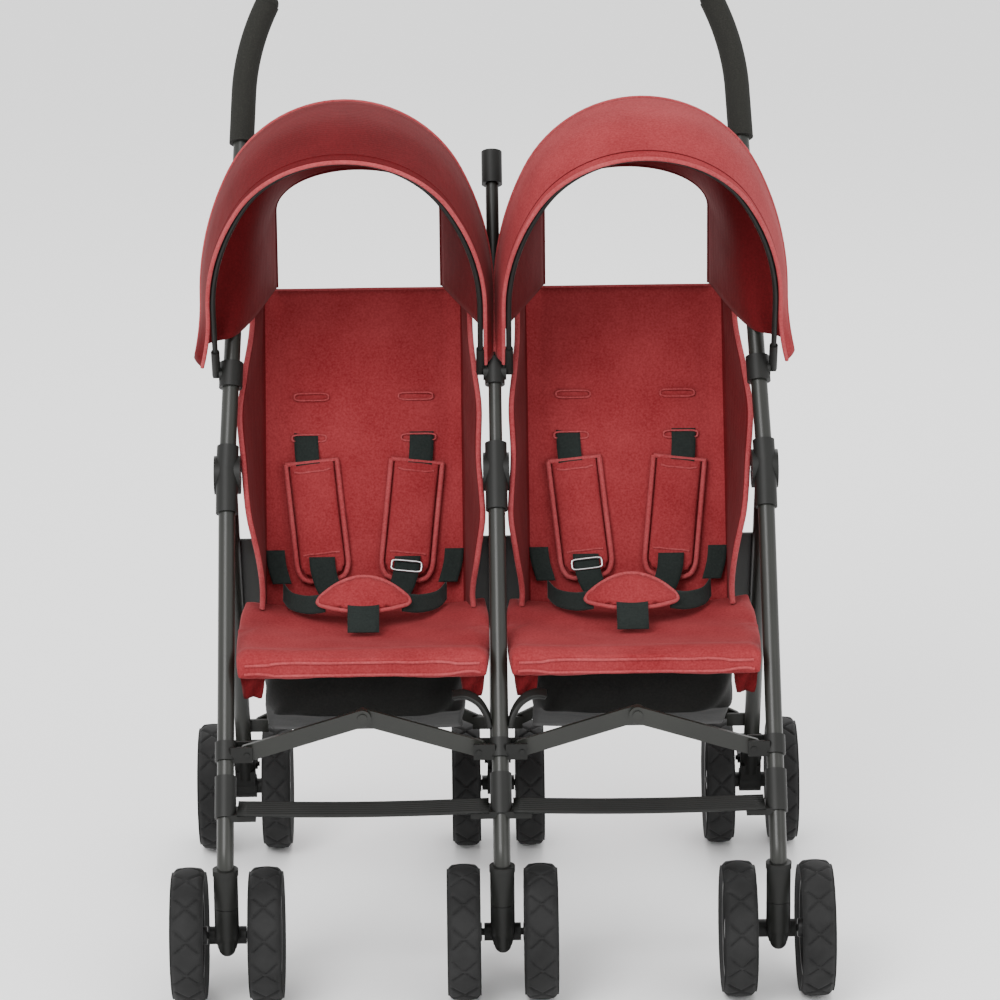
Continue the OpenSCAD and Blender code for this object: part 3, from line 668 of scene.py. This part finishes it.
def hoop(middle, half, top, rise, foot, crown, flare=0.0):
    """A hoop as (across, height): up the outer side, over the crown and down the inner side."""
    spring = top - rise
    points = []
    for k in range(LEG_STEPS):
        share = k / LEG_STEPS
        points.append((middle + half + flare * (1 - share) ** 2, foot + (spring - foot) * share))
    points += [(middle + x, spring + z) for x, z in crown]
    for k in range(1, LEG_STEPS + 1):
        points.append((middle - half, spring + (foot - spring) * k / LEG_STEPS))
    return points


def lean_back(side, hoop_points, angle):
    """Stands a hoop on the canopy's pivot, leaning back by angle."""
    return [
        Vector((side * x, PIVOT.y + z * math.sin(angle), PIVOT.z + z * math.cos(angle)))
        for x, z in hoop_points
    ]


def loft(key_rows, steps):
    """Rows through the key rows on a smooth curve, steps rows from one key to the next."""
    rows = []
    count = len(key_rows)
    for index in range(count - 1):
        before = key_rows[max(index - 1, 0)]
        start, stop = key_rows[index], key_rows[index + 1]
        after = key_rows[min(index + 2, count - 1)]
        for step in range(steps):
            t = step / steps
            row = []
            for p0, p1, p2, p3 in zip(before, start, stop, after):
                row.append(
                    0.5 * (2 * p1 + (p2 - p0) * t + (2 * p0 - 5 * p1 + 4 * p2 - p3) * t * t
                           + (3 * p1 - p0 - 3 * p2 + p3) * t ** 3)
                )
            rows.append(row)
    rows.append(list(key_rows[-1]))
    return rows


def canopy_rows(side):
    """The canopy's own hoops, from the ridge back to the window's edge."""
    rows = []
    for lean, middle, half, top, rise, foot in (
        (0, HOOD_MIDDLE, HOOD_HALF, HOOD_HEIGHT, HOOD_RISE, 0.024),
        (13, 0.1642, 0.1563, 0.3133, 0.2123, 0.036),
        (25, 0.1480, 0.1353, 0.3023, 0.1873, 0.050),
    ):
        points = hoop(middle, half, top, rise, foot, arch(half, rise), 0.008)
        rows.append(lean_back(side, points, math.radians(lean)))
    window = hoop(BAY_MIDDLE + 0.004, 0.0970, 0.842, 0.050, 0.700, low_arch(0.0970, 0.050))
    rows.append([Vector((side * x, 0.2375, z)) for x, z in window])
    return rows


def sag_between(rows, side):
    """Cloth hollows a little between its hoops and creases towards the pivot."""
    count = len(rows) - 1
    for index, row in enumerate(rows):
        share = index / count
        width = len(row) - 1
        for place, point in enumerate(row):
            turn = place / width
            hollow = 0.004 * math.sin(math.pi * share) * math.sin(math.pi * turn)
            crease = 0.0022 * math.sin(share * 17 + turn * 5) * (1 - math.sin(math.pi * turn)) ** 2
            centre = Vector((side * HOOD_MIDDLE, PIVOT.y + 0.05, PIVOT.z + 0.12))
            inward = (centre - point).normalized()
            row[place] = point + inward * (hollow + crease * math.sin(math.pi * share))
    return rows


for side_name, side in (("left", -1), ("right", 1)):
    keys = canopy_rows(side)
    rows = sag_between(loft(keys, 8), side)
    # The hood cloth and its window hem are all in the darker crimson, painted shade for the hood's shaded
    # inside.
    hood = sheet_from(f"hood_{side_name}_cloth", rows, painted_shade_crimson, CLOTH, inward=None)
    ridge_cord = piping(f"hood_{side_name}_ridge_piping",
                        [p + Vector((0, 0.0006, 0.0006)) for p in rows[0]], 0.0022)
    window_hem = piping(f"hood_{side_name}_window_hem", rows[-1], 0.0021, painted_shade_crimson)
    folds(hood, "centre_frame", f"hood_{side_name}")
    for trim in (ridge_cord, window_hem):
        folds(trim, "centre_frame")

    visor_hoops = []
    for lean, less, lower, flatter, foot in ((0.3, 0.0, 0.0, 0.0, 0.022),
        (13.5, 0.0030, 0.0015, 0.003, 0.018),
                                             (27, 0.0090, 0.0050, 0.008, 0.013)):
        half, rise = HOOD_HALF - less, HOOD_RISE - flatter
        points = hoop(HOOD_MIDDLE, half, HOOD_HEIGHT - lower, rise, foot, arch(half, rise), 0.010)
        visor_hoops.append(lean_back(side, points, -math.radians(lean)))
    visor_rows = loft(visor_hoops, 8)
    # The visor's underside and its bow stitching take the darker crimson, painted shade under the visor.
    visor = sheet_from(f"visor_{side_name}_cloth", visor_rows, crimson, CLOTH, inward=painted_shade_crimson)
    edge = piping(f"visor_{side_name}_front_piping", visor_rows[-1], 0.0024)
    sleeve = piping(f"visor_{side_name}_bow_stitching",
                    [p + Vector((0, 0, 0.0009)) for p in visor_rows[-3]], 0.0008, painted_shade_crimson)
    for piece in (visor, edge, sleeve):
        folds(piece, f"visor_{side_name}")
    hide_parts(f"visor_{side_name}")
    bow_points = lean_back(side, hoop(HOOD_MIDDLE, 0.1510, 0.3058, 0.2110, 0.0, arch(0.1510, 0.2110)),
                           -math.radians(25.5))
    rod = piping(f"visor_{side_name}_bow_rod", bow_points, 0.0032, black_nylon, 12)
    feet = [
        piping(f"visor_{side_name}_bow_foot_{k}", [end[0], end[0].lerp(end[1], 0.5), end[1]], 0.0050,
               black_nylon, 12)
        for k, end in enumerate(((bow_points[0], bow_points[3]), (bow_points[-1], bow_points[-4])))
    ]
    bow = join(f"visor_{side_name}_bow_with_feet", [rod] + feet)
    folds(bow, f"visor_{side_name}", f"visor_bow_{side_name}")

# ---------------------------------------------------------------------------
# Seats: a thin foam cushion in crimson cloth on a sling, stuffed by pressure
# and then sat in; two corded seams run along the front edge.
# ---------------------------------------------------------------------------

SEAT_TOP = 0.372
SEAT_DEEP = 0.030
SEAT_FRONT = -0.160
SEAT_BACK = 0.068
SEAT_WIDE = 0.286


def remesh(piece, voxel):
    """Even quads all over a closed shape, ready to be stuffed."""
    pick(piece)
    even = piece.modifiers.new("even", "REMESH")
    even.mode = "VOXEL"
    even.voxel_size = voxel
    bpy.ops.object.modifier_apply(modifier="even")


def stuff(piece, voxel, pressure, cap):
    """Blows the piece up like a stuffed cover; no point moves further than cap."""
    remesh(piece, voxel)
    start = [vertex.co.copy() for vertex in piece.data.vertices]
    cover = piece.modifiers.new("cover", "CLOTH")
    cover.settings.use_pressure = True
    cover.settings.uniform_pressure_force = pressure
    cover.settings.effector_weights.gravity = 0
    for step in range(1, 21):
        bpy.context.scene.frame_set(step)
    pick(piece)
    bpy.ops.object.modifier_apply(modifier="cover")
    bpy.context.scene.frame_set(1)
    for vertex, before in zip(piece.data.vertices, start):
        move = vertex.co - before
        if move.length > cap:
            vertex.co = before + move * (cap / move.length)
    smooth = piece.modifiers.new("smooth", "SUBSURF")
    smooth.levels = 1
    smooth.render_levels = 1
    pick(piece)
    bpy.ops.object.modifier_apply(modifier="smooth")
    bpy.ops.object.shade_smooth()


def block(name, size, cuts, finish):
    """A cube primitive of that size, cut into even pieces."""
    deselect()
    bpy.ops.mesh.primitive_cube_add(size=1)
    piece = bpy.context.object
    piece.name = name
    piece.scale = size
    settle(piece)
    bpy.ops.object.mode_set(mode="EDIT")
    bpy.ops.mesh.select_all(action="SELECT")
    bpy.ops.mesh.subdivide(number_cuts=cuts)
    bpy.ops.object.mode_set(mode="OBJECT")
    piece.data.materials.append(finish)
    return piece


def curve_through(points, steps=8):
    """Points on a smooth curve through the given ones."""
    return [row[0] for row in loft([[Vector(point)] for point in points], steps)]


def on_surface(piece, points, proud):
    """The points, laid on the piece's surface and lifted proud of it."""
    laid = []
    for point in points:
        _, place, normal, _ = piece.closest_point_on_mesh(point)
        laid.append(place + normal * proud)
    return laid


def cushion_pattern():
    cushion = block("cushion_pattern", (SEAT_WIDE - 0.006, SEAT_BACK - SEAT_FRONT - 0.006,
                                        SEAT_DEEP - 0.008), 20, crimson)
    for vertex in cushion.data.vertices:
        across = vertex.co.x / (SEAT_WIDE / 2)
        along = vertex.co.y / ((SEAT_BACK - SEAT_FRONT) / 2)
        vertex.co.y *= 1 - 0.03 * abs(across) ** 4
        vertex.co.x *= 1 - 0.035 * abs(along) ** 4
    stuff(cushion, 0.005, 4, 0.006)
    wanted = Vector((SEAT_WIDE, SEAT_BACK - SEAT_FRONT, SEAT_DEEP))
    grown = Vector(cushion.dimensions)
    for vertex in cushion.data.vertices:
        vertex.co = Vector(c * w / g for c, w, g in zip(vertex.co, wanted, grown))
    for vertex in cushion.data.vertices:
        across = vertex.co.x / (SEAT_WIDE / 2)
        along = vertex.co.y / ((SEAT_BACK - SEAT_FRONT) / 2)
        if vertex.co.z > 0:
            sag = max(0, 1 - across ** 2) * smoothstep(-0.95, -0.1, along)
            vertex.co.z -= 0.007 * sag
            vertex.co.z += 0.0035 * smoothstep(-0.60, -0.86, along)
            vertex.co.z += 0.0028 * smoothstep(0.75, 0.98, abs(across)) * smoothstep(-1, -0.4, along)
            vertex.co.z += 0.0009 * math.sin(along * 9 + across * 4) * (0.3 + abs(across))
    return cushion


cushion = cushion_pattern()
seat_middle = Vector((BAY_MIDDLE, (SEAT_FRONT + SEAT_BACK) / 2, SEAT_TOP - SEAT_DEEP / 2))
for side_name, side in (("left", -1), ("right", 1)):
    seat = copy_to(cushion, f"seat_{side_name}_cushion",
                   Vector((side * seat_middle.x, seat_middle.y, seat_middle.z)))
    middle = Vector((side * BAY_MIDDLE, 0, 0))
    trims = []
    for number, height in ((1, SEAT_TOP - 0.006), (2, SEAT_TOP - SEAT_DEEP + 0.007)):
        line = [
            middle + Vector((SEAT_WIDE / 2 * (k / 15 - 1) * 0.93, SEAT_FRONT - 0.02, height))
            for k in range(31)
        ]
        trims.append(piping(f"seat_{side_name}_front_piping_{number}", on_surface(seat, line, 0.0004),
                            0.0017))
    for end in (-1, 1):
        tab_x = side * BAY_MIDDLE + end * (SEAT_WIDE / 2 - 0.020)
        rows = []
        for k in range(9):
            drop = k / 8
            rows.append([
                Vector((tab_x + (j / 6 - 0.5) * (0.028 - 0.008 * drop),
                        SEAT_FRONT + 0.012 + 0.004 * math.sin(j * 1.3 + k * 0.5),
                        SEAT_TOP - SEAT_DEEP + 0.004 - 0.024 * drop))
                for j in range(7)
            ])
        # The tabs under the seat front are in the darker crimson, painted shade below the seat.
        tab = sheet_from(f"seat_{side_name}_tab_{'inner' if end * side < 0 else 'outer'}", rows, painted_shade_crimson,
                         0.0016)
        folds(tab, "centre_frame")
    folds(seat, "centre_frame", f"seat_{side_name}")
    for trim in trims:
        folds(trim, "centre_frame")
bpy.data.objects.remove(cushion)

# ---------------------------------------------------------------------------
# Backrests: a quilted panel with side wings in one bucket, hinged behind the
# seat. The edges are bound, and two pairs of slots take the shoulder straps.
# ---------------------------------------------------------------------------

BACK_LEAN = math.radians(26)
BACK_HINGE = Vector(joints["recline_left"]["pos_m"])
BACK_HALF = 0.116
BACK_LENGTH = 0.373
WING_DEPTHS = (
    (0.0, 0.058), (0.04, 0.100), (0.08, 0.128), (0.12, 0.127), (0.2, 0.112), (0.26, 0.094),
    (0.33, 0.048), (0.373, 0.024),
)
SLOT_HEIGHTS = (0.195, 0.244)
SHOULDER = 0.047


def on_back(side, across, behind, up):
    """A point of the backrest, from its hinge: across, behind its front face and up it."""
    return Vector((
        side * BAY_MIDDLE + across,
        BACK_HINGE.y + behind * math.cos(BACK_LEAN) + up * math.sin(BACK_LEAN),
        BACK_HINGE.z - behind * math.sin(BACK_LEAN) + up * math.cos(BACK_LEAN),
    ))


def wing_depth(up):
    for (z0, d0), (z1, d1) in zip(WING_DEPTHS, WING_DEPTHS[1:]):
        if up <= z1:
            return d0 + (d1 - d0) * smoothstep(z0, z1, up) * 0.5 + (d1 - d0) * (up - z0) / (z1 - z0) * 0.5
    return WING_DEPTHS[-1][1]


def bucket_rows(side):
    """Rows up the backrest, each from one wing's front edge across the panel to the other's."""
    rows = []
    for k in range(47):
        up = 0.0 + BACK_LENGTH * (k - 2) / 44
        depth = wing_depth(max(up, 0))
        row = []
        for j in range(-30, 31):
            place = abs(j) / 30
            sign = 1 if j >= 0 else -1
            if place <= 0.6:
                u = place / 0.6
                across = sign * BACK_HALF * u
                behind = 0.0030 - 0.005 * (1 - u ** 4) * math.sin(math.pi * min(1, up / 0.36))
                behind += 0.0010 * math.sin(up * 95 + u * 2.0 * sign) * (1 - u * u)
                behind -= 0.010 * smoothstep(0.86, 1.0, u)
            else:
                w = (place - 0.6) / 0.4
                reach = 0.007 + (depth - 0.007) * w
                spread = 0.019 if sign * side < 0 else 0.002 + 0.023 * smoothstep(0.0, 0.2, up)
                across = sign * (BACK_HALF + 0.001 + spread * reach / 0.13)
                across += sign * 0.0016 * math.sin(up * 48 + w * 4) * w
                behind = -reach
            point = on_back(side, across, behind, max(up, 0))
            point.z += min(up, 0) * 0.8
            row.append(point)
        rows.append(row)
    return rows


def flat_strap(name, path, across, width, finish=None, thickness=0.0018):
    """Webbing laid along path, its width along across."""
    rows = [[point + across * width * (k / 6 - 0.5) for k in range(7)] for point in path]
    return sheet_from(name, rows, finish or webbing, thickness)


def slot_edge(name, side, across, up):
    """The bound edge of a strap slot: a flat corded loop."""
    loop = []
    for k in range(33):
        angle = math.tau * k / 32
        loop.append(on_back(side, across + 0.020 * math.copysign(abs(math.cos(angle)) ** 0.4,
            math.cos(angle)),
                            -0.0060, up + 0.0042 * math.copysign(abs(math.sin(angle)) ** 0.6,
                                math.sin(angle))))
    return piping(name, loop, 0.0011)


buckets = {}
for side_name, side in (("left", -1), ("right", 1)):
    body = f"backrest_{side_name}"
    rows = bucket_rows(side)
    bucket = sheet_from(f"{body}_shell", rows, crimson, 0.0055)
    # The bucket's wings take the darker crimson, painted shade on the bucket's sides.
    bucket.data.materials.append(painted_shade_crimson)
    for face in bucket.data.polygons:
        if abs(abs(face.center.x) - BAY_MIDDLE) > BACK_HALF - 0.002:
            face.material_index = 1
    folds(bucket, body, body)
    buckets[side_name] = bucket
    trims = [
        piping(f"{body}_edge_one", [row[0] for row in rows], 0.0032),
        piping(f"{body}_edge_two", [row[-1] for row in rows], 0.0032),
        piping(f"{body}_top_piping", rows[-1], 0.0030),
    ]
    for pair, up in enumerate(SLOT_HEIGHTS):
        for end in (-1, 1):
            trims.append(slot_edge(f"{body}_slot_{pair}_{'inner' if end * side < 0 else 'outer'}",
                                   side, end * (SHOULDER + 0.017 - 0.003 * pair), up))
    for trim in trims:
        folds(trim, body)

# ---------------------------------------------------------------------------
# Harness: bound foam sleeves on black webbing shoulder straps, hip straps at
# the sides, and a leaf-shaped pad over the buckle on the crotch strap.
# ---------------------------------------------------------------------------

PAD_WIDE = 0.060
PAD_LONG = 0.140
PAD_TURN = math.radians(6)


def sleeve_outline(share):
    """Half width of a shoulder pad at that share of its height; the lower end is rounded."""
    if share < 0.16:
        return PAD_WIDE / 2 * (0.55 + 0.45 * math.sqrt(max(0, 1 - (1 - share / 0.16) ** 2)))
    return PAD_WIDE / 2


def sleeve_pattern():
    pad = block("sleeve_pattern", (PAD_WIDE, 0.0065, PAD_LONG), 24, crimson)
    for vertex in pad.data.vertices:
        share = vertex.co.z / PAD_LONG + 0.5
        vertex.co.x *= (sleeve_outline(share) - 0.0025) / (PAD_WIDE / 2)
        vertex.co.z *= 0.97
    stuff(pad, 0.0035, 4, 0.0025)
    return pad


def leaf_pattern():
    pad = block("leaf_pattern", (0.104, 0.0065, 0.046), 24, crimson)
    for vertex in pad.data.vertices:
        across = vertex.co.x / 0.052
        vertex.co.z *= max(0.16, 1 - 0.86 * across ** 2)
        vertex.co.z += 0.004 * (1 - across ** 2)
    stuff(pad, 0.0032, 4, 0.0025)
    for vertex in pad.data.vertices:
        vertex.co.y += 0.010 * (vertex.co.x / 0.052) ** 2
    return pad


sleeve = sleeve_pattern()
leaf = leaf_pattern()
slider_metal, _, _, slider_surface = shader("slider_steel", 0.28, (0.55, 0.55, 0.56))
slider_surface.inputs["Metallic"].default_value = 1.0
X_AXIS = Vector((1, 0, 0))
for side_name, side in (("left", -1), ("right", 1)):
    body = f"backrest_{side_name}"
    straps = []
    for end in (-1, 1):
        end_name = "inner" if end * side < 0 else "outer"
        foot = (end * SHOULDER, 0.027)

        def along_pad(offset, behind, up):
            """A point of the pad's own plane, measured from its lower end."""
            return on_back(side, foot[0] + offset * math.cos(PAD_TURN) + end * up * math.sin(PAD_TURN),
                           behind, foot[1] + up * math.cos(PAD_TURN) - end * offset * math.sin(PAD_TURN))

        centre = along_pad(0, -0.0085, PAD_LONG / 2 + 0.002)
        turn = Matrix.Translation(centre) @ Matrix.Rotation(-BACK_LEAN, 4,
            "X") @ Matrix.Rotation(end * PAD_TURN, 4, "Y")
        pad = copy_to(sleeve, f"harness_{side_name}_pad_{end_name}", Vector((0, 0, 0)))
        pad.data.transform(turn)
        outline = []
        for k in range(49):
            share = k / 48
            outline.append((sleeve_outline(share), share * PAD_LONG))
        loop = [along_pad(-x, -0.0085, z) for x, z in reversed(outline)] + [along_pad(x, -0.0085,
            z) for x, z in outline]
        binding = piping(f"harness_{side_name}_pad_{end_name}_binding", loop + [loop[0]], 0.0030)
        hems = [
            piping(f"harness_{side_name}_pad_{end_name}_hem_{number}",
                   on_surface(pad, [along_pad(PAD_WIDE * (k / 12 - 0.5) * 0.86, -0.03,
                       height) for k in range(13)], 0.0002),
                   0.0013)
            for number, height in ((1, PAD_LONG - 0.010), (2, 0.030))
        ]
        folds(pad, body)
        for trim in [binding] + hems:
            folds(trim, body)
        top = curve_through([
            along_pad(end * 0.004, -0.0100, PAD_LONG - 0.012),
            along_pad(end * 0.004, -0.0095, PAD_LONG + 0.010),
            along_pad(end * 0.003, -0.0060, PAD_LONG + 0.026),
            along_pad(end * 0.002, -0.0030, PAD_LONG + 0.036),
        ])
        straps.append(flat_strap(f"strap_{side_name}_top_{end_name}", top, X_AXIS, 0.028))
        low_strap = curve_through([
            along_pad(0, -0.0150, 0.026), along_pad(0, -0.0175, 0.008),
            along_pad(-end * 0.004, -0.0185, -0.012),
            along_pad(-end * 0.010, -0.0200, -0.026),
        ])
        straps.append(flat_strap(f"strap_{side_name}_low_{end_name}", low_strap, X_AXIS, 0.030))
        hip = curve_through([
            on_back(side, end * 0.104, -0.012, 0.062), on_back(side, end * 0.102, -0.013, 0.044),
            on_back(side, end * 0.096, -0.017, 0.022),
        ])
        straps.append(flat_strap(f"strap_{side_name}_hip_{end_name}", hip, X_AXIS, 0.022))
        if end * side < 0:
            ring = [along_pad(0.0175 * math.copysign(abs(math.cos(a)) ** 0.3, math.cos(a)), -0.0195,
                              0.014 + 0.006 * math.copysign(abs(math.sin(a)) ** 0.4, math.sin(a)))
                    for a in [math.tau * k / 40 for k in range(41)]]
            slider = piping(f"harness_{side_name}_slider", ring, 0.0013, slider_metal)
            folds(slider, body)
    webs = join(f"harness_{side_name}_webbing", straps)
    folds(webs, body, f"harness_{side_name}")

crotch_parts = []
for side_name, side in (("left", -1), ("right", 1)):
    middle = Vector((side * BAY_MIDDLE, 0, 0))
    rise = Matrix.Translation(middle + Vector((0, -0.030, 0.4010))) @ Matrix.Rotation(math.radians(-48),
        4, "X")
    pad = copy_to(leaf, f"crotch_{side_name}_pad", Vector((0, 0, 0)))
    pad.data.transform(rise)
    edge = []
    for k in range(61):
        angle = math.tau * k / 60
        across = math.cos(angle)
        height = 0.023 * max(0.16, 1 - 0.86 * across ** 2) * math.copysign(min(1,
            abs(math.sin(angle)) * 3), math.sin(angle))
        edge.append(rise @ Vector((0.0525 * across, 0.010 * across ** 2,
                                   height + 0.004 * (1 - across ** 2))))
    binding = piping(f"crotch_{side_name}_pad_binding", edge, 0.0026)
    folds(pad, "centre_frame")
    folds(binding, "centre_frame")
    web = curve_through([
        middle + Vector((0, -0.068, SEAT_TOP - 0.001)), middle + Vector((0, -0.062, SEAT_TOP + 0.008)),
        middle + Vector((0, -0.048, SEAT_TOP + 0.018)), middle + Vector((0, -0.036, SEAT_TOP + 0.026)),
    ])
    crotch_parts.append(flat_strap(f"crotch_{side_name}_web", web, X_AXIS, 0.036, None, 0.0022))
    for end in (-1, 1):
        hip = curve_through([
            middle + Vector((end * 0.094, 0.052, SEAT_TOP + 0.010)),
            middle + Vector((end * 0.084, 0.022, SEAT_TOP + 0.009)),
            middle + Vector((end * 0.064, -0.006, SEAT_TOP + 0.013)),
            middle + Vector((end * 0.044, -0.022, SEAT_TOP + 0.020)),
        ])
        crotch_parts.append(flat_strap(f"crotch_{side_name}_hip_{end}", hip, Vector((0, 0.75, 0.66)), 0.024))
crotch_webs = join("crotch_webbing", crotch_parts)
folds(crotch_webs, "centre_frame", "crotch_buckles")
for pattern in (sleeve, leaf):
    bpy.data.objects.remove(pattern)

# ---------------------------------------------------------------------------
# Storage baskets: soft black cloth bags hung below the seats, deeper at the
# back, with a bound rim and a bottom that sags between its corners.
# ---------------------------------------------------------------------------

BASKET_HALF = 0.1165
BASKET_STEPS = 64


def basket_rows(side):
    """Closed loops from the rim down the walls and in across the sagging floor."""
    rows = []
    for k in range(22):
        share = k / 21
        wall = min(1, share / 0.6)
        floor_share = max(0, (share - 0.6) / 0.4)
        row = []
        for j in range(BASKET_STEPS + 1):
            angle = math.tau * j / BASKET_STEPS
            c, s = math.cos(angle), math.sin(angle)
            x = math.copysign(abs(c) ** 0.35, c)
            y = math.copysign(abs(s) ** 0.35, s)
            shrink = 1 - 0.94 * floor_share
            front = -0.1165 + 0.004 * wall
            back = 0.126 + 0.026 * wall
            place_y = (front + back) / 2 + (back - front) / 2 * y * shrink
            rim_z = 0.3400 - 0.078 * smoothstep(-0.118, 0.128, place_y)
            floor_z = 0.286 - 0.082 * smoothstep(-0.112, 0.100, place_y)
            crumple = 0.003 * math.sin(angle * 7 + k * 0.7) * wall * (1 - floor_share)
            z = rim_z + (floor_z - rim_z) * smoothstep(0, 1, wall) ** 0.9
            z -= 0.001 * floor_share
            half = BASKET_HALF * (1 - 0.05 * wall) * shrink
            row.append(Vector((side * BAY_MIDDLE + half * x - crumple * c, place_y - crumple * s, z)))
        rows.append(row)
    return rows


for side_name, side in (("left", -1), ("right", 1)):
    rows = basket_rows(side)
    bag = sheet_from(f"basket_{side_name}_bag", rows, black_cloth, None)
    pick(bag)
    bpy.ops.object.mode_set(mode="EDIT")
    bpy.ops.mesh.select_all(action="SELECT")
    bpy.ops.mesh.remove_doubles(threshold=0.00005)
    bpy.ops.mesh.select_all(action="DESELECT")
    shell = bmesh.from_edit_mesh(bag.data)
    for edge in shell.edges:
        edge.select = edge.is_boundary and (edge.verts[0].co.xy - Vector((side * BAY_MIDDLE,
            0.02))).length < 0.03
    bmesh.update_edit_mesh(bag.data)
    bpy.ops.mesh.edge_face_add()
    bpy.ops.mesh.select_all(action="SELECT")
    bpy.ops.mesh.normals_make_consistent(inside=False)
    bpy.ops.object.mode_set(mode="OBJECT")
    wall = bag.modifiers.new("wall", "SOLIDIFY")
    wall.thickness = 0.0016
    wall.offset = -1
    bpy.ops.object.modifier_apply(modifier="wall")
    bpy.ops.object.shade_smooth()
    rim = piping(f"basket_{side_name}_rim", rows[0], 0.0022, black_cloth)
    for piece in (bag, rim):
        folds(piece, "centre_frame")
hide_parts("storage_baskets")

# ---------------------------------------------------------------------------
# Footrest bands: ribbed rubber straps stretched from leg to leg under the
# feet, clamped at their outer ends by a screwed plate on the leg.
# ---------------------------------------------------------------------------

RIBS = 7
foot_low, foot_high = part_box("footrest_bands")
bands = []
for side in (-1, 1):
    low_x = min(side * 0.0135, side * 0.2925)
    depth = foot_high.y - foot_low.y
    rows = []
    for k in range(57):
        share = k / 56
        height = (foot_low.z + foot_high.z) / 2 + 0.0011 * math.cos(share * math.tau * RIBS)
        row = []
        for j in range(25):
            sag = -0.0025 * math.sin(math.pi * j / 24)
            row.append(Vector((low_x + 0.279 * j / 24, foot_low.y + depth * share, height + sag)))
        rows.append(row)
    bands.append(sheet_from(f"footrest_band_{'left' if side < 0 else 'right'}", rows, black_nylon, 0.0018))
for band in bands:
    folds(band, "centre_frame")
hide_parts("footrest_bands")

# ---------------------------------------------------------------------------
# Sling hangers: bent straps of black nylon that hold each sling's inner front
# corner to the middle leg.
# ---------------------------------------------------------------------------

hangers = []
for side in (-1, 1):
    path = curve_through([
        (side * 0.052, -0.150, 0.322), (side * 0.038, -0.158, 0.3255), (side * 0.024, -0.166, 0.320),
        (side * 0.0150, -0.173, 0.308), (side * 0.0118, -0.177, 0.296),
    ])
    hangers.append(flat_strap(f"hanger_{side}", path, Vector((0, 0.9, 0.43)).normalized(), 0.012,
                              black_nylon, 0.0055))
hanger = join("sling_hangers", hangers)
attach(hanger, "centre_frame")

# ---------------------------------------------------------------------------
# Size of the finished stroller: the bounds of everything shown but the backdrop.
# ---------------------------------------------------------------------------

low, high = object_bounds()
